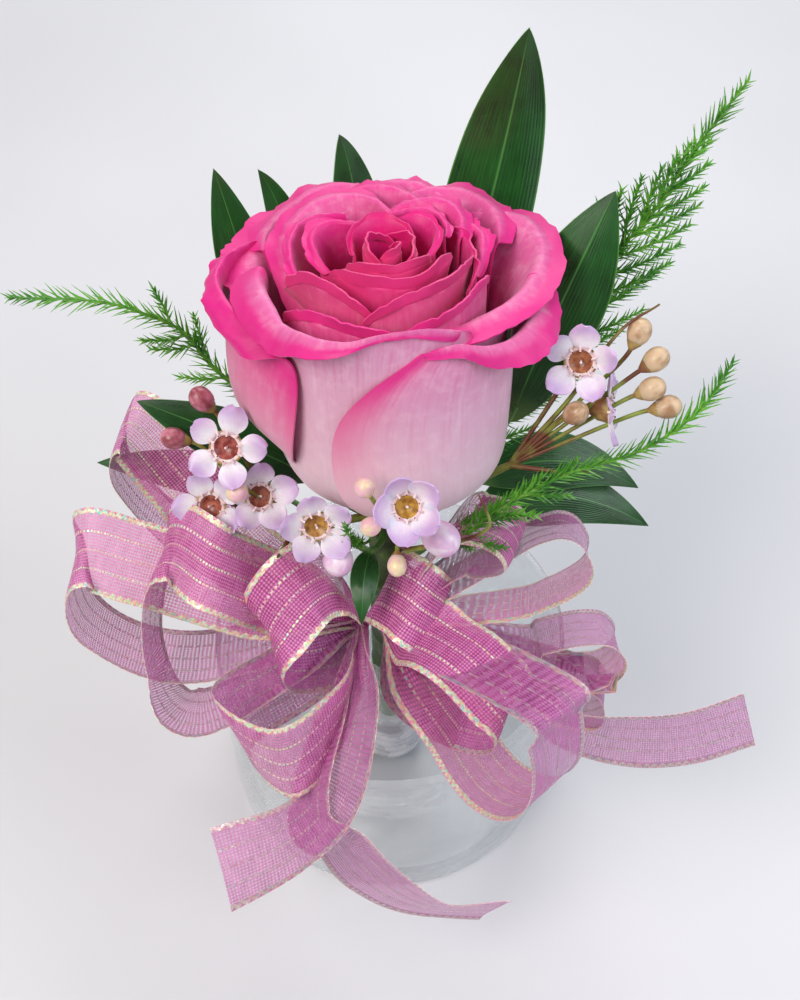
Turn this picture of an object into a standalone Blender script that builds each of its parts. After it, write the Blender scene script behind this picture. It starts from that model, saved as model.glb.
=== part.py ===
"""Rose corsage standing in a low clear glass cup.

A pink rose on a taped stem, with glossy leaves, asparagus fern and wax flower sprays round it and a bow of
striped organza ribbon under it. The stem stands in a clear tube on the floor of the cup. The origin is on the
table, under the middle of the cup. X runs to the right, Y away from the front, Z up.
Sizes below are in millimetres and degrees; MM turns them into Blender's metres.
"""

import math

import bmesh
import bpy
from mathutils import Matrix, Vector

MM = 0.001

# Clearances and thin stock
GAP = 0.35
BLADE = 0.6
GOLDEN_ANGLE = 137.5

# Glass cup and the tube in it
CUP_RADIUS = 36.5
CUP_HEIGHT = 48.0
CUP_WALL = 2.0
CUP_FLOOR = 3.2
CUP_FOOT_ROUND = 2.2
CUP_STEPS = 30
TUBE_RADIUS = 6.8
TUBE_BORE = 5.2
TUBE_PLUG = 11.0
TUBE_TOP = 41.0
TUBE_STEPS = 16

# Taped stem: its middle line, and its radius in the tube and above it
STEM_LINE = ((0, 0, 16.4), (0, 0, 42), (0, 2.2, 62), (0, 5.6, 78), (0, 7.3, 86))
STEM_RADIUS = 4.0
RECEPTACLE_RADIUS = 5.6
SEPAL_LENGTH = 6.5

# Rose: where its base is, and how far it leans back
ROSE_BASE = Vector((0, 8.2, 88.4))
ROSE_LEAN = 12.0
CORE_PROFILE = ((0, 4.0), (2, 8.5), (8, 14.5), (18, 16.5), (28, 14.0), (35, 8.0), (38, 0))

PETAL_STEPS = 40

# Whorls of petals inside the outer ones: how many, first azimuth, cup radius, base height, rim height, width
# and the lean of the rim from upright. Azimuth -90 faces the front.
INNER_WHORLS = (
    (3, 80, 2.8, 33, 49.6, 10, -20),
    (3, 20, 5.2, 31, 50.0, 14, -4),
    (3, -72, 8.4, 28, 49.2, 17, 14),
    (3, -120, 12.0, 26, 48.0, 27, 30),
    (4, -76, 16.0, 22, 46.6, 29, 52),
    (5, -48, 19.8, 18, 45.0, 31, 78),
)
# Outer petals: azimuth, cup radius, length, width, lean of the wall from upright, share of the length where the
# rim starts to roll, and lean of the rolled rim
OUTER_PETALS = (
    (-46, 22.6, 56, 46, -3, 0.82, 122),
    (-118, 21.4, 55, 48, -3, 0.81, 126),
    (10, 22.8, 58, 40, 6, 0.74, 88),
    (174, 22.8, 58, 40, 6, 0.74, 92),
    (58, 22.8, 59, 40, 4, 0.78, 62),
    (102, 22.4, 60, 40, 4, 0.80, 68),
    (140, 23.4, 59, 38, 5, 0.76, 74),
    (187, 26.0, 54, 25, 10, 0.76, 150),
)

# Bow: the middle of its pinch, how far and how much the ribbon is gathered round it, and each loop as stations
# from the pinch round and back to it: the middle of the ribbon, and the way of its width
RIBBON_WIDTH = 16.0
KNOT = Vector((-3, -7.6, 63))
KNOT_RADIUS = 5.0
ROOT_SHIFT = 2.2
ROOT_SPREAD = Vector((0, -0.9, 0.7))
GATHERED_WIDTH = 0.12
GATHER_REACH = 0.55
RIBBON_STEPS = 40
LOOP_GRID = (1, 9)
TAIL_GRID = (1, 7)
LOOPS = {
    "left_back": (
        (-28, 5, 65, -0.49, -0.69, -0.54), (-41, 16, 78, -0.49, -0.69, -0.54),
        (-51, 22, 88, -0.28, -0.95, -0.13), (-54, 19, 76, 0, -0.95, 0.31), (-39, 11, 62, 0, -0.95, 0.31),
    ),
    "left_far": (
        (-26, -8, 71, -0.2, -0.77, -0.6), (-47.8, -5, 78.6, -0.07, -0.82, -0.57),
        (-58.9, -3.6, 79.7, -0.18, -0.82, -0.54), (-59, -8, 63, 0, -0.95, 0.31),
        (-40, -11, 54, 0, -0.95, 0.31),
    ),
    "left_near": (
        (-20, -9, 73, -0.35, -0.74, -0.58), (-31.4, -11.8, 86.1, -0.13, -0.82, -0.56),
        (-41.7, -5.2, 83.5, -0.34, -0.69, -0.63), (-46, -15, 62, 0, -0.91, 0.42),
        (-36, -24, 55, 0, -0.91, 0.42),
    ),
    "front_arch": (
        (-10, -8, 78, 0.45, -0.7, -0.55), (-16, -14, 83, 0.45, -0.7, -0.55),
        (-22, -19, 76, 0.38, -0.73, -0.57), (-19, -17, 66, 0.3, -0.75, -0.58),
        (-11, -13, 62, 0.3, -0.75, -0.58),
    ),
    "front_ring": (
        (-18, -18, 60, 0.4, -0.35, -0.85), (-30, -29, 61, 0.4, -0.35, -0.85),
        (-19, -41, 66, 0.18, -0.41, -0.89), (-9, -31, 65, -0.05, -0.45, -0.89),
        (-6, -19, 62, -0.05, -0.45, -0.89),
    ),
    "centre_up": (
        (-1.1, -6.5, 72.4, 0.44, 0.81, 0.38), (2.4, -11.4, 77.5, 0.4, 0.76, 0.52),
        (6.1, -14.7, 77.4, 0.39, 0.77, 0.52), (9.1, -14.1, 72.8, 0.41, 0.76, 0.51),
        (7.9, -10.7, 66.5, 0.41, 0.86, 0.3), (1.8, -8.4, 64.6, 0.38, 0.77, 0.51),
    ),
    "right_up": (
        (3.4, -8.6, 69.5, 0.19, 0.43, 0.88), (11.5, -8.9, 73.1, -0.09, 0.01, 1),
        (20, -7.8, 73.9, -0.29, -0.21, 0.93), (24.1, -1.2, 75.3, -0.39, -0.32, 0.86),
        (25.8, 6.5, 76.2, -0.42, -0.37, 0.83), (22, 9.5, 73.5, -0.31, -0.47, 0.82),
        (14.7, 5.7, 69.3, -0.12, -0.35, 0.93), (6.4, 1.2, 65.7, -0.08, -0.15, 0.99),
    ),
    "right_up_far": (
        (10.7, -8.7, 66.9, -0.07, -0.09, 0.99), (20.1, -9.4, 68.9, -0.15, -0.21, 0.97),
        (27.8, -8.2, 72.3, -0.18, -0.13, 0.97), (35.3, -4.1, 74.3, -0.23, 0.05, 0.97),
        (39.3, 0.6, 71.6, -0.15, -0.19, 0.97), (37.4, 6.8, 71.4, -0.2, -0.06, 0.98),
        (32.1, 6.2, 68.3, -0.16, 0, 0.99), (25.8, -0.7, 63, -0.11, -0.16, 0.98),
    ),
    "right_mid": (
        (12.7, -14.2, 66.4, 0.04, 0.11, 0.99), (20.7, -18.9, 67.8, -0.01, -0.05, 1),
        (29.2, -21.5, 68.3, -0.03, -0.1, 0.99), (37.7, -22.9, 68.4, -0.11, -0.1, 0.99),
        (44.7, -18, 68.5, -0.16, -0.13, 0.98), (43.5, -11.3, 64.8, -0.19, -0.15, 0.97),
        (36.4, -9.4, 60, -0.11, -0.19, 0.98), (25.6, -9.6, 58.5, -0.03, -0.21, 0.98),
    ),
    "front_right": (
        (3.7, -13.8, 70.5, 0.48, 0.74, 0.48), (9.3, -19.2, 73.9, 0.42, 0.9, -0.1),
        (15.6, -24.8, 74.6, 0.49, 0.87, -0.01), (22, -31.4, 70.7, 0.35, 0.92, 0.17),
        (19.1, -30.2, 64.1, 0.32, 0.94, 0.14), (12.1, -25.8, 61.1, 0.36, 0.92, 0.13),
        (4.9, -18.4, 60.6, 0.43, 0.77, 0.47),
    ),
    "low_right": (
        (1, -19.2, 63.7, 0.51, 0.77, -0.38), (7, -28.5, 67.9, 0.52, 0.69, -0.5),
        (14.1, -38.5, 67.7, 0.66, 0.61, -0.44), (18.6, -44.1, 67.1, 0.68, 0.59, -0.43),
        (25.5, -46.5, 65.3, 0.66, 0.57, -0.49), (30.5, -40.4, 63.7, 0.58, 0.47, -0.66),
        (29.7, -33.4, 62.8, 0.57, 0.46, -0.68), (26, -26.5, 60.6, 0.43, 0.45, -0.78),
    ),
    "right_back": (
        (14.4, -20.3, 66.7, 0.1, -0.2, 0.97), (24.1, -24.4, 66, 0.01, -0.18, 0.98),
        (32.7, -26.6, 65.6, -0.02, -0.13, 0.99), (39, -27.1, 63.9, -0.06, -0.12, 0.99),
        (41.1, -24.3, 62.3, -0.12, -0.16, 0.98), (35.6, -20.5, 60.2, -0.1, -0.12, 0.99),
        (25.4, -18.2, 60.7, -0.07, -0.17, 0.98),
    ),
}
# Tails: the same, to the cut end
TAILS = {
    "tail_left": (
        (-5.7, -20.6, 66.5, 0.32, -0.49, 0.81), (-6, -33, 66.9, 0.56, -0.19, 0.81),
        (-10.5, -45, 60.1, 0.68, -0.45, 0.58), (-18.1, -50.9, 55.5, 0.66, -0.63, 0.4),
        (-30.8, -54.3, 50.3, 0.71, -0.71, 0.01),
    ),
    "tail_centre": (
        (-14.7, -43.5, 56.2, -0.51, 0.12, -0.85), (-7.8, -51.1, 52.8, -0.49, 0.11, -0.87),
        (-1.7, -54.4, 45.2, -0.4, 0.1, -0.91), (7.4, -55.7, 36.5, -0.34, 0.22, -0.91),
        (20.7, -54, 31.5, 0.42, 0.17, -0.89),
    ),
    "tail_right": (
        (26.4, -22.8, 59.7, -0.08, 0.16, -0.98), (34.8, -27.9, 55.7, 0.02, 0.05, -1),
        (46.2, -30.1, 55.2, 0.19, -0.15, -0.97), (57.5, -30.1, 56.5, 0.21, -0.19, -0.96),
        (68.6, -27.8, 59.5, 0.18, -0.2, -0.96),
    ),
}

# Tie: a wire round the bow's pinch and round the stem
WIRE_RADIUS = 0.6
PINCH_RING = 4.8
STEM_RING = 5.2
RING_SIDES = 12

# Leaves: height and azimuth where the stalk leaves the stem, then the foot, two shaping points and the tip of
# the blade, its width, and the way that its upper face looks
LEAVES = {
    "leaf_back_tall": (80, 75, (12, 36, 90), (18, 50, 110), (23, 57, 134), (24.5, 54, 155), 18, (0, -0.9, 0.4)),
    "leaf_right": (80, 36, (23, 16, 95), (28, 22, 111), (35.5, 30, 126), (40, 35, 135), 16, (-0.3, -0.8, 0.5)),
    "leaf_back_mid": (74, 100, (-5, 38, 92), (-5, 50, 104), (-6, 56, 120), (-9, 52, 134), 11, (0.3, -0.9, 0.3)),
    "leaf_back_left_inner": (
        80, 122, (-13, 34, 92), (-17, 42, 104), (-19, 48, 120), (-24, 47, 130), 8, (0, -0.9, 0.4),
    ),
    "leaf_back_left_outer": (
        75, 137, (-18, 28, 90), (-25, 36, 102), (-29, 44, 118), (-32, 46, 131), 11, (0.4, -0.8, 0.4),
    ),
    "leaf_left": (79, 170, (-14, 11, 84), (-24, 12, 91), (-36, 13, 99), (-47, 16, 101), 11, (0, -0.5, 0.86)),
    "leaf_far_left": (68, 156, (-20, 17, 70), (-34, 23, 71), (-48, 28, 69), (-62, 30, 66), 10, (0, -0.4, 0.9)),
    "leaf_front": (78, -106, (-3.4, -4, 81.5), (-4.4, -9, 84), (-4.8, -14, 83.5), (-5, -18, 77), 5.4, (0, -0.6, 0.8)),
    "leaf_low_right_upper": (72, 40, (17, 17, 76), (28, 21, 80), (39, 22, 79), (51, 20, 70), 12, (0, -0.6, 0.8)),
    "leaf_low_right_lower": (66, 30, (18, 14.5, 69), (28, 18.5, 73), (40, 19, 71), (54, 17, 61), 13, (0, -0.6, 0.8)),
}

# Fern fronds: height and azimuth at the stem, points along the axis, and side sprigs as the share of the axis
# where each starts, its direction and its length
FERNS = {
    "fern_right_high": (
        (75, 52),
        ((15, 21, 84), (31, 30, 101), (40, 34, 118), (47.5, 34, 132), (53, 38, 141), (61, 42, 153)),
        (
            (0.36, (0.9, 0.1, 0.3), 15), (0.42, (-0.45, 0.3, 0.85), 10), (0.46, (0.95, 0.2, 0.15), 14),
            (0.52, (-0.35, 0.2, 0.9), 11), (0.56, (0.95, 0.1, 0.0), 12), (0.62, (-0.1, 0.2, 0.97), 11),
            (0.66, (0.9, 0.1, 0.1), 10), (0.72, (0.0, 0.3, 0.95), 8), (0.30, (0.95, 0.0, 0.2), 13),
        ),
    ),
    "fern_right_low": (
        (79, -14),
        ((13, -5, 87), (20, -5, 95), (31, -2, 101), (45, 0, 106), (55, 5, 111), (61, 12, 116)),
        ((0.22, (0.5, -0.6, 0.3), 8), (0.34, (0.7, 0.5, 0.5), 8), (0.42, (0.6, -0.6, 0.2), 7)),
    ),
    "fern_left": (
        (82, 152),
        ((-16, 17, 88), (-32, 23, 101), (-38, 25, 110), (-45, 25, 115), (-53, 25, 118), (-69, 26, 118)),
        (
            (0.30, (-0.9, 0.2, -0.1), 8), (0.48, (0.1, 0.3, 0.95), 8), (0.56, (-0.8, -0.5, -0.2), 8),
            (0.62, (0.0, 0.4, 0.9), 7),
        ),
    ),
    "fern_front": (
        (79, -124),
        ((-6, -5.5, 86), (-7.2, -11, 95), (-7.4, -13.5, 102)),
        ((0.45, (-0.3, -0.7, 0.6), 4),),
    ),
}
NEEDLE_LENGTH = 3.8
NEEDLE_SPACING = 5.4
NEEDLE_LEAN = 38.0

# Wax flower sprays: height and azimuth at the stem, the fork of the stalk, then flowers as centre, facing and
# petal reach, and buds as centre, direction of growth and radius
SPRAYS = {
    "wax_spray_left": (
        (80, -168),
        (-18, -2, 84),
        (
            ((-30.6, 4.2, 101.2), (-0.1, -0.75, 0.65), 6.7),
            ((-31.2, 0.6, 92.5), (-0.2, -0.75, 0.62), 5.6),
            ((-24.6, -1.8, 94.2), (0.35, -0.65, 0.67), 6.4),
            ((-12.8, -10.4, 97.4), (0.15, -0.85, 0.5), 6.8),
        ),
        (
            ((-34.5, 14, 104), (-0.6, 0.2, 0.75), 2.5),
            ((-40.0, 9.5, 98), (-0.95, 0, 0.3), 2.4),
            ((-27.2, -3.6, 98.4), (-0.4, -0.6, 0.6), 1.9),
            ((-9.0, -13.6, 91.4), (0.2, -0.9, 0.1), 2.8),
        ),
    ),
    "wax_spray_front": (
        (81, -72),
        (3.4, -11.0, 91),
        (((3.2, -18.2, 113), (0.05, -0.72, 0.69), 6.2),),
        (
            ((-3.8, -14.2, 113), (-0.2, -0.3, 0.9), 1.75),
            ((-3.0, -14.8, 103), (-0.5, -0.6, 0.5), 1.75),
            ((1.6, -17.4, 95), (0.0, -0.9, -0.2), 1.75),
            ((9.2, -17.9, 103.6), (0.6, -0.7, 0.2), 3.1),
        ),
    ),
    "wax_spray_right": (
        (81, -4),
        (22, 3, 98),
        (
            ((33.4, 8.6, 119.5), (-0.2, -0.8, 0.5), 6.6),
            ((39.2, 7.4, 109), (0.97, -0.1, 0.2), 6.8),
        ),
        (
            ((43.8, 13.5, 122), (0.4, 0.5, 0.75), 2.5),
            ((47.0, 10.6, 118), (0.8, 0.3, 0.5), 2.5),
            ((46.4, 6.8, 114.5), (0.85, 0.0, 0.5), 2.5),
            ((49.4, 5.2, 111.5), (0.95, 0.0, 0.25), 2.5),
            ((33.2, 4.6, 110.6), (0.5, -0.3, 0.8), 2.4),
        ),
    ),
}

COLOURS = {
    "glass": ((0.90, 0.94, 0.95), 0.05, 0.35),
    "clear_plastic": ((0.92, 0.94, 0.96), 0.15, 0.45),
    "floral_tape": ((0.16, 0.30, 0.10), 0.75, 1.0),
    "petal": ((0.86, 0.24, 0.47), 0.55, 1.0),
    "leaf": ((0.05, 0.18, 0.04), 0.35, 1.0),
    "fern": ((0.12, 0.36, 0.05), 0.6, 1.0),
    "wax_flower": ((0.80, 0.66, 0.80), 0.5, 1.0),
    "wire": ((0.12, 0.24, 0.10), 0.5, 1.0),
    "ribbon": ((0.82, 0.30, 0.55), 0.45, 1.0),
}


def clear_scene():
    for obj in list(bpy.data.objects):
        bpy.data.objects.remove(obj)


def make_materials():
    made = {}
    for name, (colour, roughness, alpha) in COLOURS.items():
        finish = bpy.data.materials.new(name)
        finish.use_nodes = True
        shader = finish.node_tree.nodes["Principled BSDF"]
        shader.inputs["Base Color"].default_value = (*colour, 1)
        shader.inputs["Roughness"].default_value = roughness
        shader.inputs["Metallic"].default_value = 0.0
        shader.inputs["Alpha"].default_value = alpha
        made[name] = finish
    return made


def smooth(x):
    x = min(1.0, max(0.0, x))
    return x * x * (3 - 2 * x)


def mix(a, b, share):
    return a + (b - a) * share


def bezier(points, t):
    """A point on the cubic curve through four control points."""
    a, b, c, d = points
    s = 1 - t
    return a * s**3 + b * (3 * s * s * t) + c * (3 * s * t * t) + d * t**3


def through(points, count):
    """Points spread along a smooth curve that runs through the given ones."""
    knots = [Vector(p) for p in points]
    knots = [knots[0] * 2 - knots[1], *knots, knots[-1] * 2 - knots[-2]]
    spans = len(knots) - 3
    found = []
    for i in range(count):
        place = i / (count - 1) * spans
        k = min(int(place), spans - 1)
        t = place - k
        a, b, c, d = knots[k : k + 4]
        found.append(
            (b * 2 + (c - a) * t + (a * 2 - b * 5 + c * 4 - d) * t**2 + (b * 3 - a - c * 3 + d) * t**3) / 2
        )
    return found


def frame_facing(origin, facing):
    """A placement whose Z looks along facing."""
    turn = Vector(facing).normalized().to_track_quat("Z", "Y").to_matrix().to_4x4()
    return Matrix.Translation(Vector(origin)) @ turn


def add_object(name, mesh):
    obj = bpy.data.objects.new(name, mesh)
    bpy.context.scene.collection.objects.link(obj)
    return obj


def object_from_bmesh(name, bm):
    mesh = bpy.data.meshes.new(name)
    bm.to_mesh(mesh)
    bm.free()
    return add_object(name, mesh)


def baked(obj, weld=True):
    """The object as its modifiers leave it, in world space, as a new mesh object. weld joins a curve's caps."""
    graph = bpy.context.evaluated_depsgraph_get()
    mesh = bpy.data.meshes.new_from_object(obj.evaluated_get(graph))
    mesh.transform(obj.matrix_world)
    name = obj.name
    bpy.data.objects.remove(obj)
    if weld:
        bm = bmesh.new()
        bm.from_mesh(mesh)
        bmesh.ops.remove_doubles(bm, verts=bm.verts, dist=0.001 * MM)
        bm.to_mesh(mesh)
        bm.free()
    return add_object(name, mesh)


def blade(name, point_at, across, along, thickness=BLADE):
    """A thin sheet: a triangulated grid bent by point_at(u, v), u from -1 to 1 and v from 0 to 1, and thickened."""
    bm = bmesh.new()
    bmesh.ops.create_grid(bm, x_segments=across, y_segments=along, size=1)
    for vert in bm.verts:
        vert.co = point_at(vert.co.x, (vert.co.y + 1) / 2) * MM
    bmesh.ops.triangulate(bm, faces=bm.faces)
    obj = object_from_bmesh(name, bm)
    solid = obj.modifiers.new("Thickness", "SOLIDIFY")
    solid.thickness = thickness * MM
    solid.offset = 0
    return baked(obj)


def tube(name, points, radii, resolution=0, closed=False):
    """A round stalk along points, tapering through radii, with filled ends."""
    curve = bpy.data.curves.new(name, "CURVE")
    curve.dimensions = "3D"
    curve.bevel_depth = MM
    curve.bevel_resolution = resolution
    curve.use_fill_caps = True
    spline = curve.splines.new("POLY")
    spline.use_cyclic_u = closed
    spline.points.add(len(points) - 1)
    for i, point in enumerate(points):
        spline.points[i].co = (*(Vector(point) * MM), 1)
        spline.points[i].radius = mix(radii[0], radii[-1], i / (len(points) - 1))
    return baked(add_object(name, curve))


def ball(name, centre, direction, radius, stretch=1.15, segments=6, rings=4):
    bm = bmesh.new()
    bmesh.ops.create_uvsphere(bm, u_segments=segments, v_segments=rings, radius=radius * MM)
    bmesh.ops.scale(bm, vec=(1, 1, stretch), verts=bm.verts)
    place = frame_facing(Vector(centre) * MM, direction)
    bmesh.ops.transform(bm, matrix=place, verts=bm.verts)
    return object_from_bmesh(name, bm)


def cone(name, start, direction, length, radius_start, radius_end, segments=8):
    bm = bmesh.new()
    bmesh.ops.create_cone(
        bm,
        cap_ends=True,
        segments=segments,
        radius1=radius_start * MM,
        radius2=radius_end * MM,
        depth=length * MM,
    )
    bmesh.ops.translate(bm, vec=(0, 0, length * MM / 2), verts=bm.verts)
    bmesh.ops.transform(bm, matrix=frame_facing(Vector(start) * MM, direction), verts=bm.verts)
    return object_from_bmesh(name, bm)


def turned(name, profile, steps):
    """A turned shape: profile is (radius, height) down its outer side and back up the inner one."""
    bm = bmesh.new()
    verts = [bm.verts.new((radius * MM, 0, height * MM)) for radius, height in profile]
    for first, second in zip(verts, verts[1:]):
        bm.edges.new((first, second))
    obj = object_from_bmesh(name, bm)
    screw = obj.modifiers.new("Turn", "SCREW")
    screw.steps = steps
    screw.render_steps = steps
    screw.use_merge_vertices = True
    screw.merge_threshold = 0.00001
    screw.use_normal_calculate = True
    return baked(obj)


def fuse(name, pieces):
    """One body from pieces that overlap. EXACT is slow on this many thin blades, so the solver is MANIFOLD."""
    body = pieces[0]
    body.name = name
    helpers = bpy.data.collections.new(name + "_pieces")
    bpy.context.scene.collection.children.link(helpers)
    for piece in pieces[1:]:
        bpy.context.scene.collection.objects.unlink(piece)
        helpers.objects.link(piece)
    union = body.modifiers.new("Union", "BOOLEAN")
    union.operation = "UNION"
    union.operand_type = "COLLECTION"
    union.collection = helpers
    union.solver = "MANIFOLD"
    body = baked(body, weld=False)
    for piece in list(helpers.objects):
        bpy.data.objects.remove(piece)
    bpy.data.collections.remove(helpers)
    keep_largest_shell(body)
    return body


def keep_largest_shell(obj):
    """Drops loose scraps, and the inner skins of hollows that the union sealed."""
    bm = bmesh.new()
    bm.from_mesh(obj.data)
    left = set(bm.faces)
    shells = []
    while left:
        stack = [left.pop()]
        shell = list(stack)
        while stack:
            for edge in stack.pop().edges:
                for face in edge.link_faces:
                    if face in left:
                        left.remove(face)
                        stack.append(face)
                        shell.append(face)
        shells.append(shell)
    shells.sort(key=len)
    for shell in shells[:-1]:
        bmesh.ops.delete(bm, geom=shell, context="FACES")
    bm.to_mesh(obj.data)
    bm.free()


def finish(obj, name, material, smooth_angle=40):
    obj.name = name
    obj.data.name = name
    obj.data.materials.clear()
    obj.data.materials.append(material)
    obj.data.shade_smooth()
    obj.data.set_sharp_from_angle(angle=math.radians(smooth_angle))
    return obj


# Glass cup and centre tube


def make_cup(material):
    outer, inner = CUP_RADIUS, CUP_RADIUS - CUP_WALL
    turn = CUP_FOOT_ROUND
    profile = [
        (inner + 0.4, CUP_HEIGHT),
        (outer - 0.4, CUP_HEIGHT),
        (outer, CUP_HEIGHT - 0.6),
        (outer, turn),
        (outer - turn * 0.3, turn * 0.3),
        (outer - turn, 0),
        (0, 0),
    ]
    inside = [
        (0, CUP_FLOOR),
        (inner - 1.6, CUP_FLOOR),
        (inner - 0.4, CUP_FLOOR + 0.6),
        (inner, CUP_FLOOR + 2),
        (inner, CUP_HEIGHT - 0.6),
        (inner + 0.4, CUP_HEIGHT),
    ]
    cup = turned("cup", profile + inside, CUP_STEPS)
    return finish(cup, "glass_cup", material)


def make_tube(material):
    foot = CUP_FLOOR + GAP
    plug_top = foot + TUBE_PLUG
    profile = [
        (TUBE_BORE + 0.3, TUBE_TOP),
        (TUBE_RADIUS - 0.4, TUBE_TOP),
        (TUBE_RADIUS - 0.4, plug_top + 0.4),
        (TUBE_RADIUS, plug_top),
        (TUBE_RADIUS, foot + 0.5),
        (TUBE_RADIUS - 0.5, foot),
        (0, foot),
        (0, plug_top),
        (TUBE_BORE, plug_top),
        (TUBE_BORE + 0.3, TUBE_TOP),
    ]
    return finish(turned("tube", profile, TUBE_STEPS), "centre_tube", material)


# Taped stem


def stem_point(height):
    """The stem's middle at a height."""
    line = [Vector(p) for p in STEM_LINE]
    for low, high in zip(line, line[1:]):
        if height <= high.z:
            return low.lerp(high, (height - low.z) / (high.z - low.z))
    return line[-1]


def stem_port(height, azimuth, stand_off=GAP):
    """A point just off the stem's surface, and the way out from the stem there."""
    turn = math.radians(azimuth)
    out = Vector((math.cos(turn), math.sin(turn), 0))
    return stem_point(height) + out * (STEM_RADIUS + stand_off), out


def make_stem(material):
    line = through(STEM_LINE, 9)
    pieces = [tube("stem", line, (STEM_RADIUS, STEM_RADIUS), 1)]
    top = line[-1]
    up = (ROSE_BASE - top).normalized()
    pieces.append(cone("receptacle", top - up * 4, up, 5.6, STEM_RADIUS - 0.4, RECEPTACLE_RADIUS, 12))
    for k in range(5):
        turn = math.radians(36 + 72 * k)
        out = Vector((math.cos(turn), math.sin(turn), 0))
        side = Vector((-out.y, out.x, 0))
        root = top + up * 0.9

        def sepal(u, v, out=out, side=side, root=root):
            drop = -3.2 * v * v
            half = 2.0 * (1 - v) ** 0.7 + 0.25
            reach = RECEPTACLE_RADIUS - 2.4 + SEPAL_LENGTH * v
            return root + out * reach + side * (u * half) + Vector((0, 0, drop - 0.4))

        pieces.append(blade("sepal", sepal, 2, 3, 0.7))
    return finish(fuse("taped_stem", pieces), "taped_stem", material)


# Rose


def petal_line(length, foot, leans, turns):
    """(radius, height) at even steps along a petal's middle.

    leans are its angles from upright at the foot, on the wall and at the rim. turns are the shares of the
    length where the wall starts and where the rim starts to roll.
    """
    radius, height = foot
    found = [(radius, height)]
    for i in range(PETAL_STEPS):
        v = (i + 0.5) / PETAL_STEPS
        lean = mix(leans[0], leans[1], smooth(v / turns[0]))
        lean = mix(lean, leans[2], smooth((v - turns[1]) / (1 - turns[1])))
        radius += length / PETAL_STEPS * math.sin(math.radians(lean))
        height += length / PETAL_STEPS * math.cos(math.radians(lean))
        found.append((radius, height))
    return found


def petal_surface(line, azimuth, width, spiral, wave, phase):
    """A petal's point_at(u, v): its middle line swept round the rose's axis, widest above the middle.

    spiral moves one edge out and the other in, so that each petal overlaps the next.
    """

    def point_at(u, v):
        reach = v * (1 - 0.22 * abs(u) ** 2.4)
        place = min(0.9999, max(0, reach)) * PETAL_STEPS
        i = int(place)
        radius = mix(line[i][0], line[i + 1][0], place - i)
        height = mix(line[i][1], line[i + 1][1], place - i)
        half = width / 2 * (0.22 + 0.78 * math.sin(math.pi / 2 * min(1, v / 0.62)))
        turn = math.radians(azimuth) + u * half / max(radius, 2.4)
        ripple = wave * math.sin(2.6 * math.pi * u + phase) * v**4
        radius += spiral * u + ripple
        return Vector((radius * math.cos(turn), radius * math.sin(turn), height + 0.7 * ripple))

    return point_at


def make_rose(material):
    pieces = [turned("core", [(radius, height) for height, radius in reversed(CORE_PROFILE)] + [(0, 0)], 14)]
    for number, (count, first, cup, foot, rim, width, lean) in enumerate(INNER_WHORLS):
        line = petal_line((rim - foot) * 1.14, (0, foot), (38, -4, lean), (0.45, 0.68))
        shift = cup - line[PETAL_STEPS // 2][0]
        line = [(radius + shift, height) for radius, height in line]
        grid = (3, 2) if number >= 4 else (2, 2)
        for k in range(count):
            surface = petal_surface(line, first + 360 / count * k, width, 0.8, 0.25, number + 2.1 * k)
            pieces.append(blade("petal", surface, *grid))
    for k, (azimuth, cup, length, width, wall, roll, lean) in enumerate(OUTER_PETALS):
        line = petal_line(length, (2.4, 1.0), (88, wall, lean), (0.5, roll))
        shift = cup - line[PETAL_STEPS * 6 // 10][0]
        line = [(radius + shift * smooth(i / 14), height) for i, (radius, height) in enumerate(line)]
        surface = petal_surface(line, azimuth, width, 1.1, 0.8, 1.7 * k)
        pieces.append(blade("petal", surface, 3, 5))
    bloom = fuse("rose_bloom", pieces)
    lean_back = Matrix.Rotation(math.radians(-ROSE_LEAN), 4, "X")
    bloom.data.transform(Matrix.Translation(ROSE_BASE * MM) @ lean_back)
    return finish(bloom, "rose_bloom", material)


# Leaves


def leaf_surface(controls, width, face):
    """A pointed blade along a bent rib, folded a little along it."""
    ribs = [Vector(p) for p in controls]

    def point_at(u, v):
        here = bezier(ribs, v)
        along = (bezier(ribs, min(1, v + 0.02)) - bezier(ribs, max(0, v - 0.02))).normalized()
        side = along.cross(Vector(face)).normalized()
        lift = side.cross(along)
        half = max(0.4, width / 2 * math.sin(math.pi * v**0.82) ** 0.85)
        return here + side * (u * half) - lift * (0.22 * abs(u) ** 1.4 * half)

    return point_at


def make_leaf(name, spec, material):
    height, azimuth, foot, second, third, tip, width, face = spec
    start, out = stem_port(height, azimuth)
    foot, second = Vector(foot), Vector(second)
    bend = [start, start + out * 5, foot - (second - foot) * 0.25, foot + (second - foot) * 0.2]
    stalk = [bezier(bend, k / 4) for k in range(5)]
    pieces = [
        blade("blade", leaf_surface((foot, second, third, tip), width, face), 2, 6),
        tube("stalk", stalk, (0.9, 0.7), 0),
    ]
    return finish(fuse(name, pieces), name, material)


# Ferns


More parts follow.
